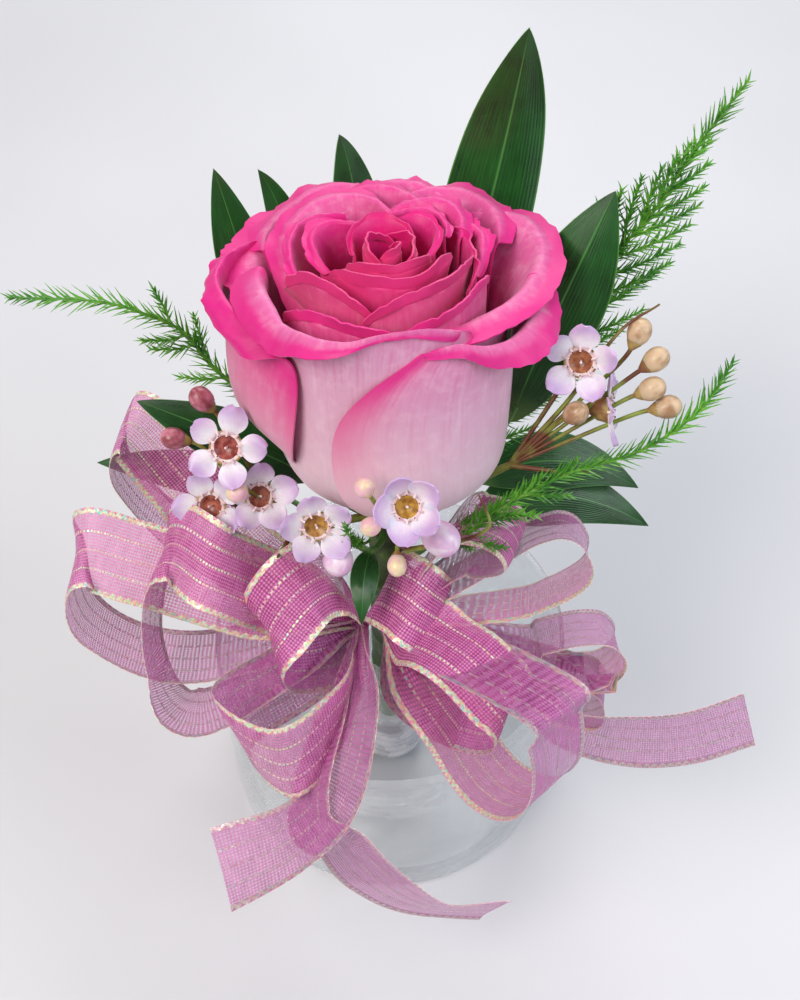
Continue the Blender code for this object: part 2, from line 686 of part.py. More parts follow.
def needles_along(line, radius, start, pieces):
    """Three-sided needles round a line, leaning forwards, at one spacing out to the tip."""
    lengths = [0.0]
    for a, b in zip(line, line[1:]):
        lengths.append(lengths[-1] + (b - a).length)
    travelled = start
    number = 0
    while travelled < lengths[-1] - 0.4:
        k = max(i for i, length in enumerate(lengths[:-1]) if length <= travelled)
        along = (line[k + 1] - line[k]).normalized()
        here = line[k] + along * (travelled - lengths[k])
        side = along.orthogonal().normalized()
        side.rotate(Matrix.Rotation(math.radians(GOLDEN_ANGLE * number), 3, along))
        lean = math.radians(NEEDLE_LEAN)
        way = along * math.cos(lean) + side * math.sin(lean)
        near_tip = min(1.0, (lengths[-1] - travelled) / 10)
        size = NEEDLE_LENGTH * (0.55 + 0.45 * near_tip)
        pieces.append(cone("needle", here, way, size, 0.5, 0, 3))
        travelled += NEEDLE_SPACING
        number += 1


def make_fern(name, spec, material):
    (height, azimuth), points, sprigs = spec
    start, out = stem_port(height, azimuth)
    axis = through([start, start + out * 4, *points], 14)
    pieces = [tube("axis", axis, (0.8, 0.4), 0)]
    bare = 0.3 * sum((b - a).length for a, b in zip(axis, axis[1:]))
    needles_along(axis, 0.5, bare, pieces)
    for share, direction, length in sprigs:
        place = share * (len(axis) - 1)
        k = int(place)
        root = axis[k].lerp(axis[k + 1], place - k)
        forward = (axis[k + 1] - axis[k]).normalized()
        tip = root + Vector(direction).normalized() * length
        bend = root.lerp(tip, 0.5) + forward * (-0.06 * length)
        line = through([root, bend, tip], 3)
        pieces.append(tube("sprig", line, (0.5, 0.35), 0))
        needles_along(line, 0.4, 1.2, pieces)
    return finish(fuse(name, pieces), name, material)


# Wax flower sprays


def wax_flower(centre, facing, reach, pieces):
    """Five round petals on the rim of a small cup."""
    place = frame_facing(centre, facing)
    back = (place @ Vector((0, 0, -4.2))) - Vector(centre)
    pieces.append(cone("cup", Vector(centre) + back, facing, 4.4, 1.1, reach * 0.42, 6))
    for k in range(5):
        turn = math.radians(72 * k)

        def petal(u, v, turn=turn):
            half = reach * 0.34 * math.sin(math.pi * (0.16 + 0.72 * v)) ** 0.7
            out = reach * (0.28 + 0.72 * v)
            local = Vector((out, u * half, 0.2 + 1.1 * v * v - 0.7 * u * u * v))
            local.rotate(Matrix.Rotation(turn, 3, "Z"))
            return place @ local

        pieces.append(blade("petal", petal, 1, 2))


def make_spray(name, spec, material):
    (height, azimuth), fork, flowers, buds = spec
    start, out = stem_port(height, azimuth)
    fork = Vector(fork)
    stalk = [bezier([start, start + out * 5, fork.lerp(start, 0.35), fork], k / 4) for k in range(5)]
    pieces = [tube("stalk", stalk, (0.9, 0.8), 0)]
    for centre, facing, reach in flowers:
        foot = Vector(centre) - Vector(facing).normalized() * 3.6
        line = [bezier([fork, fork.lerp(foot, 0.4), foot - Vector(facing) * 4, foot], k / 3) for k in range(4)]
        pieces.append(tube("pedicel", line, (0.6, 0.6), 0))
        wax_flower(centre, facing, reach, pieces)
    for centre, growth, radius in buds:
        way = Vector(growth).normalized()
        foot = Vector(centre) - way * (radius * 1.7)
        line = [bezier([fork, fork.lerp(foot, 0.5), foot - way * 3, foot], k / 3) for k in range(4)]
        pieces.append(tube("pedicel", line, (0.6, 0.55), 0))
        pieces.append(ball("bud", centre, way, radius))
    return finish(fuse(name, pieces), name, material)


# Ribbon bow


def ribbon_surface(stations, is_loop):
    """Ribbon through its stations from the pinch, and back to it if it is a loop.

    It leaves the pinch to the left or the right of the tie, and is gathered where it is near the pinch.
    """
    side = 1 if stations[0][0] > KNOT.x else -1
    root = KNOT + Vector((side * ROOT_SHIFT, 0, 0))
    points = [root + ROOT_SPREAD, *[row[:3] for row in stations]]
    ways = [stations[0][3:], *[row[3:] for row in stations]]
    if is_loop:
        points.append(root - ROOT_SPREAD)
        ways.append(stations[-1][3:])
    line = through(points, RIBBON_STEPS + 1)
    ways = through(ways, RIBBON_STEPS + 1)
    reach = max((point - KNOT).length for point in line)

    def point_at(u, v):
        place = min(0.9999, v) * RIBBON_STEPS
        k = int(place)
        here = line[k].lerp(line[k + 1], place - k)
        along = (line[k + 1] - line[k]).normalized()
        across = ways[k].lerp(ways[k + 1], place - k)
        across = (across - along * across.dot(along)).normalized()
        gather = mix(GATHERED_WIDTH, 1, smooth((here - KNOT).length / (GATHER_REACH * reach)))
        return here + across * (u * RIBBON_WIDTH / 2 * gather)

    return point_at


def wire_ring(centre, axis, radius, wire):
    """A round wire bent to a ring about centre."""
    place = frame_facing(centre, axis)
    corners = [2 * math.pi * k / RING_SIDES for k in range(RING_SIDES)]
    points = [place @ Vector((radius * math.cos(turn), radius * math.sin(turn), 0)) for turn in corners]
    return tube("ring", points, (wire, wire), 0, closed=True)


def make_tie(material):
    """The wire: one ring round the pinch and one round the stem. Returns the shapes of their grooves in the bow."""
    around_stem = stem_point(KNOT.z)
    away = (KNOT - around_stem).normalized()
    rings = (
        (KNOT, Vector((1, 0, 0)), PINCH_RING),
        (around_stem, stem_point(KNOT.z + 2) - around_stem, STEM_RING),
    )
    pieces = []
    cutters = []
    for centre, axis, radius in rings:
        pieces.append(wire_ring(centre, axis, radius, WIRE_RADIUS))
        cutters.append(wire_ring(centre, axis, radius, WIRE_RADIUS + GAP))
    bridge = KNOT - away * PINCH_RING
    pieces.append(tube("bridge", (bridge, bridge - away), (WIRE_RADIUS, WIRE_RADIUS), 1))
    finish(fuse("tie_wire", pieces), "tie_wire", material)
    return cutters


def make_bow(material, cutters):
    pieces = [ball("pinch", KNOT, (1, 0, 0), KNOT_RADIUS, 1.1, 10, 6)]
    for stations in LOOPS.values():
        pieces.append(blade("loop", ribbon_surface(stations, True), *LOOP_GRID))
    for stations in TAILS.values():
        pieces.append(blade("tail", ribbon_surface(stations, False), *TAIL_GRID))
    bow = fuse("ribbon_bow", pieces)
    for cutter in cutters:
        groove = bow.modifiers.new("Groove", "BOOLEAN")
        groove.operation = "DIFFERENCE"
        groove.object = cutter
        groove.solver = "MANIFOLD"
    bow = baked(bow, weld=False)
    for cutter in cutters:
        bpy.data.objects.remove(cutter)
    keep_largest_shell(bow)
    return finish(bow, "ribbon_bow", material)


def gather_nodes():
    """Moves every part into one collection named for the object."""
    corsage = bpy.data.collections.new("rose_corsage")
    bpy.context.scene.collection.children.link(corsage)
    for obj in list(bpy.context.scene.collection.objects):
        bpy.context.scene.collection.objects.unlink(obj)
        corsage.objects.link(obj)


def main():
    clear_scene()
    paint = make_materials()
    make_cup(paint["glass"])
    make_tube(paint["clear_plastic"])
    make_stem(paint["floral_tape"])
    make_rose(paint["petal"])
    for name, spec in LEAVES.items():
        make_leaf(name, spec, paint["leaf"])
    for name, spec in FERNS.items():
        make_fern(name, spec, paint["fern"])
    for name, spec in SPRAYS.items():
        make_spray(name, spec, paint["wax_flower"])
    cutters = make_tie(paint["wire"])
    make_bow(paint["ribbon"], cutters)
    gather_nodes()


main()
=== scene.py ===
import math
import random

import bmesh
import bpy
from mathutils import Matrix, Vector, noise


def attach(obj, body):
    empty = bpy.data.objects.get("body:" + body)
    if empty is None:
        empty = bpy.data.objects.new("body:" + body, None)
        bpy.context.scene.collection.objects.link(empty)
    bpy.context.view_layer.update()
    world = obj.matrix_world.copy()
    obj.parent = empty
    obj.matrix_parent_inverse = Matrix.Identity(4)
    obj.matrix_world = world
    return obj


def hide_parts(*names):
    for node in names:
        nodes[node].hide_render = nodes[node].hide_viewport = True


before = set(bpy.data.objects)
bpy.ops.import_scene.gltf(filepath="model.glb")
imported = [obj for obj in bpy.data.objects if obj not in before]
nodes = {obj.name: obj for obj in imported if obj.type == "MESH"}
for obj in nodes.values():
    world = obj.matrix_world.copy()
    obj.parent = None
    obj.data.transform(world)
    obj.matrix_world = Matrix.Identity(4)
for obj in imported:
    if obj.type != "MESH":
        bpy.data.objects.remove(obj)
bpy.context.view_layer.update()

# The looks of a rose corsage in its glass cup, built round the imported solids.
# Lengths in the dictionaries are in millimetres and angles in degrees; mm turns them into metres.
mm = 0.001


# Sums on shader sockets

class Wire:
    def __init__(self, board, socket):
        self.board = board
        self.socket = socket

    def join(self, operation, first, second):
        return self.board.add("Math", {"operation": operation}, {0: first, 1: second})

    def __add__(self, other):
        return self.join("ADD", self, other)

    def __radd__(self, other):
        return self.join("ADD", other, self)

    def __sub__(self, other):
        return self.join("SUBTRACT", self, other)

    def __rsub__(self, other):
        return self.join("SUBTRACT", other, self)

    def __mul__(self, other):
        return self.join("MULTIPLY", self, other)

    def __pow__(self, other):
        return self.join("POWER", self, other)

    def __abs__(self):
        return self.board.add("Math", {"operation": "ABSOLUTE"}, {0: self})

    def sine(self):
        return self.board.add("Math", {"operation": "SINE"}, {0: self})


class Board:
    # one material and its nodes
    def __init__(self, name, **finish):
        self.material = bpy.data.materials.new(name)
        self.material.use_nodes = True
        self.tree = self.material.node_tree
        self.shader = self.tree.nodes["Principled BSDF"]
        for socket, value in finish.items():
            self.shader.inputs[socket.replace("_", " ")].default_value = value

    def add(self, kind, settings=None, values=None, out=0):
        made = self.tree.nodes.new("ShaderNode" + kind)
        for key, value in (settings or {}).items():
            if key == "stops":
                ramp = made.color_ramp
                while len(ramp.elements) < len(value):
                    ramp.elements.new(0.5)
                for stop, (place, shade) in zip(ramp.elements, value):
                    stop.position = place
                    stop.color = colour(shade)
            else:
                setattr(made, key, value)
        for key, value in (values or {}).items():
            if isinstance(value, Wire):
                self.tree.links.new(value.socket, made.inputs[key])
            else:
                made.inputs[key].default_value = value
        return Wire(self, made.outputs[out])

    def place(self):
        return self.add("TexCoord", out="Object")

    def sheetPlace(self):
        # across and along the sheet, each from 0 to 1
        split = self.add("SeparateXYZ", values={0: self.add("UVMap")}).socket.node
        return Wire(self, split.outputs[0]), Wire(self, split.outputs[1])

    def painted(self, name):
        return self.add("Attribute", {"attribute_name": name}, out="Fac")

    def point(self, x, y, z):
        return self.add("CombineXYZ", values={0: x, 1: y, 2: z})

    def grain(self, where, scale, detail=2.0, rough=0.5):
        values = {"Vector": where, "Scale": scale, "Detail": detail, "Roughness": rough}
        return self.add("TexNoise", values=values)

    def ease(self, value, low, high):
        # 0 below low, 1 above high, smooth between
        smooth = {"interpolation_type": "SMOOTHSTEP"}
        return self.add("MapRange", smooth, {0: value, 1: low, 2: high, 3: 0.0, 4: 1.0})

    def blend(self, mask, first, second):
        first, second = (shade if isinstance(shade, Wire) else colour(shade) for shade in (first, second))
        return self.add("Mix", {"data_type": "RGBA"}, {0: mask, 6: first, 7: second}, out=2)

    def emboss(self, height, strength, depth):
        values = {"Strength": strength, "Distance": depth, "Height": height}
        self.wire("Normal", self.add("Bump", values=values))

    def wire(self, socket, value):
        self.tree.links.new(value.socket, self.shader.inputs[socket])


def colour(shade):
    # a web colour such as f05a9b, as linear light
    parts = [int(shade[i : i + 2], 16) / 255 for i in (0, 2, 4)]
    return (*[part / 12.92 if part <= 0.04045 else ((part + 0.055) / 1.055) ** 2.4 for part in parts], 1)


def twoTone(name, low, high, scale, detail=3, span=(0.3, 0.7), rough=None, bump=None, **finish):
    # mottled between two colours; rough is where its roughness starts and ends, its reach and its least
    board = Board(name, **finish)
    patch = board.grain(board.place(), scale, detail)
    board.wire("Base Color", board.blend(board.ease(patch, *span), low, high))
    if rough:
        start, end, reach, least = rough
        board.wire("Roughness", board.ease(patch, start, end) * reach + least)
    if bump:
        board.emboss(patch, *bump)
    return board.material


# Small tools for shapes

def ease(x):
    x = min(1.0, max(0.0, x))
    return x * x * (3 - 2 * x)


def curveAt(rows, share):
    # a place on the smooth curve through rows of numbers
    spans = len(rows) - 1
    place = min(0.99999, max(0.0, share)) * spans
    k = int(place)
    t = place - k
    b, c = rows[k], rows[k + 1]
    a = rows[k - 1] if k else [2 * p - q for p, q in zip(b, c)]
    d = rows[k + 2] if k + 2 <= spans else [2 * q - p for p, q in zip(b, c)]
    return [
        (2 * q + (r - p) * t + (2 * p - 5 * q + 4 * r - s) * t**2 + (3 * q - p - 3 * r + s) * t**3) / 2
        for p, q, r, s in zip(a, b, c, d)
    ]


def pathThrough(points, count):
    return [Vector(curveAt([tuple(p) for p in points], i / (count - 1))) for i in range(count)]


def bezier(points, t):
    a, b, c, d = [Vector(p) for p in points]
    s = 1 - t
    return a * s**3 + b * (3 * s * s * t) + c * (3 * s * t * t) + d * t**3


def facing(origin, way):
    turn = Vector(way).normalized().to_track_quat("Z", "Y").to_matrix().to_4x4()
    return Matrix.Translation(Vector(origin)) @ turn


def sheet(bm, pointAt, across, along, paint=None):
    # a grid bent by pointAt(u, v), u from -1 to 1 and v from 0 to 1, with u and v kept as its UV map
    uv = bm.loops.layers.uv.verify()
    brush = {name: bm.verts.layers.float.get(name) or bm.verts.layers.float.new(name) for name in paint or {}}
    made = bmesh.ops.create_grid(bm, x_segments=across, y_segments=along, size=1)["verts"]
    for vert in made:
        u, v = vert.co.x, (vert.co.y + 1) / 2
        for loop in vert.link_loops:
            loop[uv].uv = ((u + 1) / 2, v)
        for name, layer in brush.items():
            vert[layer] = paint[name](u, v)
        vert.co = Vector(pointAt(u, v)) * mm
    return made


def stalk(bm, line, thick, thin, sides=6):
    # a round stalk: a ring carried along the line by extrusion, closed at both ends
    way = (line[1] - line[0]).normalized()
    ring = bmesh.ops.create_circle(bm, cap_ends=True, segments=sides, radius=thick * mm)["verts"]
    bmesh.ops.transform(bm, matrix=facing(line[0] * mm, way), verts=ring)
    first = face = ring[0].link_faces[0]
    last = len(line) - 1
    for k in range(1, last + 1):
        ahead = (line[min(k + 1, last)] - line[k - 1]).normalized()
        made = bmesh.ops.extrude_face_region(bm, geom=[face])["geom"]
        corners = [item for item in made if isinstance(item, bmesh.types.BMVert)]
        cap = [item for item in made if isinstance(item, bmesh.types.BMFace)][0]
        if face is not first:
            bmesh.ops.delete(bm, geom=[face], context="FACES_ONLY")
        turn = way.rotation_difference(ahead).to_matrix()
        before = line[k - 1] * mm
        size = (thick + (thin - thick) * k / last) / (thick + (thin - thick) * (k - 1) / last)
        for corner in corners:
            corner.co = line[k] * mm + (turn @ (corner.co - before)) * size
        way = ahead
        face = cap


def cornersSince(bm, before):
    return list(dict.fromkeys(vert for face in bm.faces if face not in before for vert in face.verts))


def openEdges(verts):
    edges = dict.fromkeys(edge for vert in verts for edge in vert.link_edges)
    return [edge for edge in edges if len(edge.link_faces) == 1]


def tagged(bm, before, material):
    # gives the faces made since then another material
    for face in bm.faces:
        if face not in before:
            face.material_index = material


def spun(bm, profile, steps, weld=0):
    # spins a profile of (radius, height) round the upright axis, and gives back its corners
    before = set(bm.faces)
    verts = [bm.verts.new((radius, 0, height)) for radius, height in profile]
    edges = [bm.edges.new(pair) for pair in zip(verts, verts[1:])]
    bmesh.ops.spin(
        bm, geom=verts + edges, cent=(0, 0, 0), axis=(0, 0, 1), angle=2 * math.pi, steps=steps, use_merge=True
    )
    made = cornersSince(bm, before)
    if weld:
        bmesh.ops.remove_doubles(bm, verts=made, dist=weld)
        made = cornersSince(bm, before)
    return made


def turned(profile, steps, place=Matrix()):
    # a piece turned from a closed profile, moved to its place
    bm = bmesh.new()
    made = spun(bm, profile, steps, 0.002)
    bmesh.ops.transform(bm, matrix=Matrix.Scale(mm, 4) @ place, verts=made)
    return bm


def arc(x, y, radius, angles):
    turns = [math.radians(angle) for angle in angles]
    return [(x + radius * math.cos(turn), y + radius * math.sin(turn)) for turn in turns]


def finished(name, bm, materials, sharpAngle=50, recalculate=True):
    # the piece as an object at the origin, riding on the one body
    if recalculate:
        bmesh.ops.recalc_face_normals(bm, faces=bm.faces)
    mesh = bpy.data.meshes.new(name)
    bm.to_mesh(mesh)
    bm.free()
    for material in materials:
        mesh.materials.append(material)
    mesh.shade_smooth()
    mesh.set_sharp_from_angle(angle=math.radians(sharpAngle))
    piece = bpy.data.objects.new(name, mesh)
    bpy.context.scene.collection.objects.link(piece)
    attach(piece, "root")
    return piece


def thickened(piece, thickness):
    # gives a sheet its thickness, with its second material on the other side
    shell = piece.modifiers.new("Thickness", "SOLIDIFY")
    shell.thickness = thickness * mm
    shell.offset = 0
    shell.material_offset = 1
    graph = bpy.context.evaluated_depsgraph_get()
    mesh = bpy.data.meshes.new_from_object(piece.evaluated_get(graph))
    piece.modifiers.clear()
    piece.data = mesh
    mesh.set_sharp_from_angle(angle=math.radians(60))


# Glass cup and centre tube

cup = {
    "radius": 36.5, "height": 48.0, "wall": 2.0, "floor": 3.2, "foot": 2.2, "bend": 3.0, "steps": 96,
    "tubeRadius": 6.8, "tubeBore": 5.2, "tubeTop": 41.0, "tubeSteps": 64,
    "plugFoot": 3.55, "plugTop": 14.55, "ribs": 4, "ribPitch": 2.4,
    "glass": ("c6d6d6", 0.15), "plastic": ("e9eef2", 0.14),
}


def makeGlass(name, tint, clear):
    # clear face on, and more and more solid towards its edges
    board = Board(
        name, Base_Color=colour(tint), IOR=1.3, Transmission_Weight=1.0, Coat_Weight=1.0, Coat_Roughness=0.02
    )
    edge = board.add("LayerWeight", values={"Blend": 0.45}, out="Facing")
    smear = board.grain(board.place(), 60, 3, 0.6)
    board.wire("Alpha", edge * edge * (0.95 - clear) + clear + board.ease(smear, 0.55, 0.8) * 0.03)
    board.wire("Roughness", board.ease(smear, 0.52, 0.80) * 0.06 + 0.015)
    return board.material


def buildCup():
    outer, inner = cup["radius"], cup["radius"] - cup["wall"]
    top, floor, foot, bend = cup["height"], cup["floor"], cup["foot"], cup["bend"]
    rim = arc(inner + 1, top - 1, 1, range(180, -1, -20))
    corner = arc(outer - foot, foot, foot, range(0, -91, -15))
    base = [(outer - foot - 1.5, 0.35), (outer - foot - 4, 0.5), (0, 0.5)]
    inside = [(0, floor), *arc(inner - bend, floor + bend, bend, range(-90, 1, 15))]
    bm = turned(rim + corner + base + inside + [rim[0]], cup["steps"])
    piece = finished("glassCup", bm, [makeGlass("clearGlass", *cup["glass"])], 40)
    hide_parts("glass_cup")

    bore, wall, top = cup["tubeBore"], cup["tubeRadius"], cup["tubeTop"]
    foot, plug = cup["plugFoot"], cup["plugTop"]
    clear = (
        (bore, plug + 0.1), (bore, plug + 6), (bore + 0.2, top - 0.3), (bore + 0.5, top), (wall - 0.6, top),
        (wall - 0.3, top - 0.4), (wall - 0.3, plug + 0.8), (wall, plug + 0.1), (bore, plug + 0.1),
    )
    bm = turned(clear, cup["tubeSteps"])
    tube = finished("tubeWall", bm, [makeGlass("clearPlastic", *cup["plastic"])], 40)
    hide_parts("centre_tube")
    body = [(0, foot), (wall - 0.5, foot), (wall, foot + 0.5)]
    for k in range(cup["ribs"]):
        low = foot + 1.6 + cup["ribPitch"] * k
        body += [(wall, low), (wall - 0.25, low + 0.3), (wall - 0.25, low + 1.2), (wall, low + 1.5)]
    body += [(wall, plug - 0.3), (wall - 0.4, plug), (bore - 0.4, plug)]
    bm = turned([*body, (bore - 1.2, plug - 1.0), (0, plug - 1.4)], cup["tubeSteps"])
    milky = twoTone(
        "milkyPlastic", "d4d7dd", "f2f3f6", 180, rough=(0.4, 0.8, 0.2, 0.25), bump=(0.15, 0.0003), IOR=1.49,
        Transmission_Weight=0.25,
    )
    foot = finished("tubeFoot", bm, [milky], 35)
    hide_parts("centre_tube")
    print("cup and tube made")


# Rose. Each rim is a row of (azimuth, radius, height) from its clockwise end to the other, in the rose's own
# frame, whose axis leans back. Azimuth -90 faces the front. wall is the cup radius of the petal, lip how far
# its margin stands out past its crest and how much higher the crest is, left and right how far each side
# spreads below the rim. low shapes the petal's foot and tuck draws in its right side. blush is how hot its
# pink is, pale how pale its face is, and edge how broad its hot left margin is.

rose = {
    "base": (0, 8.2, 88.4),
    "lean": 12.0,
    "thickness": 0.34,
    "plain": (0.5, 0.86, 1.04, 1.08, 1.04, 1.0),
    "grid": (30, 36),
    "heartGrid": (18, 22),
    "core": ((0, 0.4), (4, 0.3), (8.5, 2), (14.5, 8), (16, 18), (12, 28), (7, 34), (0, 37)),
    "petals": (
        # outermost: front right, front left, left guard, left, back left, back, back right, right
        dict(rim=((-74, 21.7, 40.4), (-58, 22.6, 39.6), (-43, 25.4, 36.6), (-28, 28.2, 35.4),
             (-14, 30.4, 36.8), (2, 30, 40)), wall=21.9, foot=0.5, lip=((0.8, 0.6), (1.6, 2.2), (3.6, 3.4),
             (5.4, 3.6), (5.6, 3.0)), left=(0.9, 1.2, 1.6, 1.95, 2.08, 2.0, 1.62, 1.12, 0.98, 0.96, 0.94),
             blush=0.24, pale=1.0, edge=0.24),
        dict(rim=((-182, 27.5, 41), (-156, 27, 41), (-141, 26.4, 39.6), (-125, 25.4, 41.2),
             (-108, 24.2, 42.9), (-96, 22.5, 44.9), (-80, 21.3, 45.0), (-62, 20.6, 42.0)), wall=20.7,
             foot=0.8, lip=((6.0, 3.0), (5.6, 3.4), (4.4, 3.0), (2.8, 1.6), (1.4, 0.6), (0.8, 0.3),
             (0.4, 0.2)), right=(0.5, 0.9, 1.1, 1.25, 1.3, 1.15, 1.0), blush=0.12, pale=1.0, edge=0.1),
        dict(rim=((-210, 28, 42), (-197, 30.6, 42), (-185, 31.6, 41.4), (-172, 31.2, 40), (-160, 28.6, 36)),
             wall=28.6, foot=0.2, low=(0.40, 0.08, 0.86, 0.32), lip=(2.4, 1.2), left=(0.4, 0.9, 1.1, 1.15,
             1.05, 1.0), right=(0.6, 1.3, 1.9, 2.1, 1.7, 1.0), tuck=5.6, blush=0.95, pale=0.0, edge=0.2),
        dict(rim=((176, 28.6, 39.6), (167, 31.0, 40.4), (155, 32.0, 42.0), (141, 32.8, 42.8),
             (124, 31.8, 43.2)), wall=19.9, foot=1.2, lip=(8.0, 0.2), blush=0.3, pale=0.7, edge=0.1),
        dict(rim=((156, 28, 42), (136, 31.5, 43.4), (120, 33.0, 44.8), (108, 33.0, 45.2), (96, 29.5, 44.8)),
             wall=21.3, foot=0.6, lip=(5, 1.0), blush=0.4, pale=0.5, edge=0.1),
        dict(rim=((108, 28.4, 44.8), (98, 30.0, 45.6), (86, 32.2, 45.8), (76, 31.0, 45.6),
             (62, 27.4, 44.8)), wall=20.6, foot=1.4, lip=(5, 0.8), blush=0.4, pale=0.5, edge=0.1),
        dict(rim=((86, 26.2, 45.4), (72, 30.2, 46), (57, 32.2, 45.6), (45, 30.8, 45), (30, 26.4, 43)),
             wall=20.0, foot=1.8, lip=(5, 0.6), blush=0.4, pale=0.5, edge=0.1),
        dict(rim=((50, 29.4, 44), (37, 34.2, 44), (24, 33.8, 43.2), (4, 29.8, 42.2), (-16, 26.6, 41.6),
             (-35, 23.6, 41), (-56, 21.2, 40)), wall=20.4, foot=0.9, lip=(5.6, 0.6), left=(0.5, 0.8, 0.95,
             1.0, 1.0, 1.0), blush=0.25, pale=0.8, edge=0.1),
        # middle: upper left, behind it, upper right, small curled one at the right, front left, front right
        dict(rim=((192, 17.6, 37), (168, 21.4, 43.4), (149, 23.8, 46), (130, 24.8, 48), (110, 23.4, 48.6),
             (95, 19.6, 48.4), (82, 16.6, 46)), wall=15.6, foot=8, lip=(4.6, 0.2), blush=0.35, pale=0.5,
             edge=0.1),
        dict(rim=((118, 25.4, 46), (104, 27.0, 47.2), (88, 25.4, 47.8), (72, 21.6, 47.2), (58, 18.4, 45)),
             wall=17.6, foot=6, lip=(4, 0.5), blush=0.55, pale=0.3, edge=0.1),
        dict(rim=((94, 14.2, 47), (77, 18, 49), (61, 20.6, 49.2), (46, 20.2, 48.6), (30, 17.4, 46.4)),
             wall=13.8, foot=10, lip=(3.4, 0.4), blush=0.6, pale=0.2, edge=0.1),
        dict(rim=((54, 18, 46), (42, 19.6, 47.4), (31, 20.4, 47.6), (19, 19.2, 46.8), (4, 16.8, 43.6)),
             wall=15.2, foot=8, lip=(2.4, -0.6), blush=0.6, pale=0.3, edge=0.3),
        dict(rim=((-174, 18.2, 36), (-158, 18.2, 41.2), (-140, 17.9, 44.4), (-122, 17.5, 45.2),
             (-103, 17.1, 44.6), (-84, 16.9, 43.8), (-66, 16.6, 42)), wall=17.4, foot=7, lip=(0.4, -3),
             blush=0.55, pale=0.5, edge=0.2),
        dict(rim=((-92, 17.4, 41), (-76, 17.3, 44.4), (-58, 17.0, 45.6), (-38, 16.8, 46.8),
             (-20, 16.8, 47.2), (-2, 17.4, 45)), wall=16.8, foot=7, lip=(0.4, -3), blush=0.5, pale=0.5,
             edge=0.3),
        dict(rim=((202, 14.4, 40), (187, 16.5, 43.8), (172, 18.0, 45.8), (156, 19.2, 47.0),
             (140, 19.4, 47.8), (122, 16.6, 47.8)), wall=14.2, foot=12, lip=(1.6, 0.2), blush=0.8, pale=0.2,
             edge=0.2),
        dict(rim=((62, 15.0, 47), (42, 15.4, 48.2), (22, 15.4, 47.9), (2, 15.2, 46.6), (-18, 14.9, 44.6)),
             wall=14.6, foot=12, lip=(0.6, -1.5), blush=0.8, pale=0.2, edge=0.3),
        dict(rim=((102, 11.2, 48), (84, 13.8, 49), (66, 15.8, 49.2), (48, 15.4, 48.8), (30, 13.0, 48)),
             wall=11.8, foot=14, lip=(2.0, 0.0), blush=0.85, pale=0.1, edge=0.3),
        # heart: left pair, right pair, then the folds round the bud
        dict(rim=((174, 18.2, 42), (188, 17.0, 45.2), (204, 14.9, 48.4), (221, 13.0, 47.9),
             (240, 12.5, 46.8), (257, 12.4, 44.8), (268, 12.5, 41.5)), wall=13.0, foot=14, lip=(0.3, -3),
             blush=0.5, pale=0.45, edge=0.3),
        dict(rim=((-114, 13.8, 41), (-99, 13.3, 45.4), (-76, 12.9, 48.0), (-53, 12.9, 48.8),
             (-31, 13.0, 49.0), (-11, 13.4, 48.6), (8, 14.6, 47.6)), wall=13.2, foot=14, lip=(0.3, -3),
             blush=0.5, pale=0.5, edge=0.3),
        dict(rim=((184, 12.0, 45), (170, 14.4, 47.4), (156, 16.0, 48.6), (140, 15.6, 49.2),
             (125, 12.4, 49.2), (110, 10.6, 48)), wall=11.2, foot=16, lip=(2.4, -0.4), blush=0.95, pale=0.0,
             edge=0.2),
        dict(rim=((-172, 9.8, 46.6), (-150, 9.4, 48.4), (-124, 9.0, 49.0), (-98, 8.8, 49.3),
             (-70, 8.8, 48.7), (-46, 9.1, 49.1), (-22, 9.7, 50.0), (6, 11.0, 49.0)), wall=9.4, foot=18,
             lip=(-0.2, -3), blush=0.85, pale=0.1, edge=0.3),
        dict(rim=((96, 9.4, 48.4), (78, 10.8, 49.9), (60, 12.2, 50.2), (43, 12.0, 49.8), (24, 10.2, 49.2),
             (2, 8.0, 47.6)), wall=8.8, foot=18, lip=(1.6, -0.6), blush=0.9, pale=0.0, edge=0.3),
        dict(rim=((170, 6.6, 48.2), (146, 8.0, 50.4), (120, 8.8, 51.2), (94, 8.6, 51.2), (66, 7.4, 50.6),
             (38, 5.8, 49.6)), wall=6.2, foot=20, lip=(1.2, -1.2), blush=0.95, pale=0.0, edge=0.3),
        dict(rim=((-168, 6.8, 47.8), (-140, 6.6, 49.4), (-108, 6.4, 50.0), (-76, 6.2, 49.6),
             (-44, 6.4, 49.9), (-12, 6.8, 49.0), (14, 7.4, 47.6)), wall=6.6, foot=20, lip=(-0.4, -2.4),
             blush=0.9, pale=0.0, edge=0.4),
        dict(rim=((-60, 4.4, 48.6), (-20, 4.6, 50.0), (20, 4.8, 50.4), (60, 4.6, 50.4), (100, 4.4, 49.4)),
             wall=4.6, foot=22, lip=(-0.4, -2.4), blush=0.95, pale=0.0, edge=0.4),
        dict(rim=((70, 3.0, 49.2), (115, 3.4, 50.8), (160, 3.6, 51.0), (205, 3.4, 50.4), (250, 3.2, 49)),
             wall=3.6, foot=22, lip=(-0.5, -2.2), blush=0.95, pale=0.0, edge=0.4),
        dict(rim=((-130, 2.4, 48.8), (-90, 2.2, 50.0), (-40, 1.9, 50.4), (20, 1.7, 50.2), (80, 1.9, 49.4)),
             wall=2.4, foot=24, lip=(-0.4, -2.0), blush=0.95, pale=0.0, edge=0.4),
    ),
}


def rosePlace():
    return Matrix.Translation(Vector(rose["base"])) @ Matrix.Rotation(math.radians(-rose["lean"]), 4, "X")


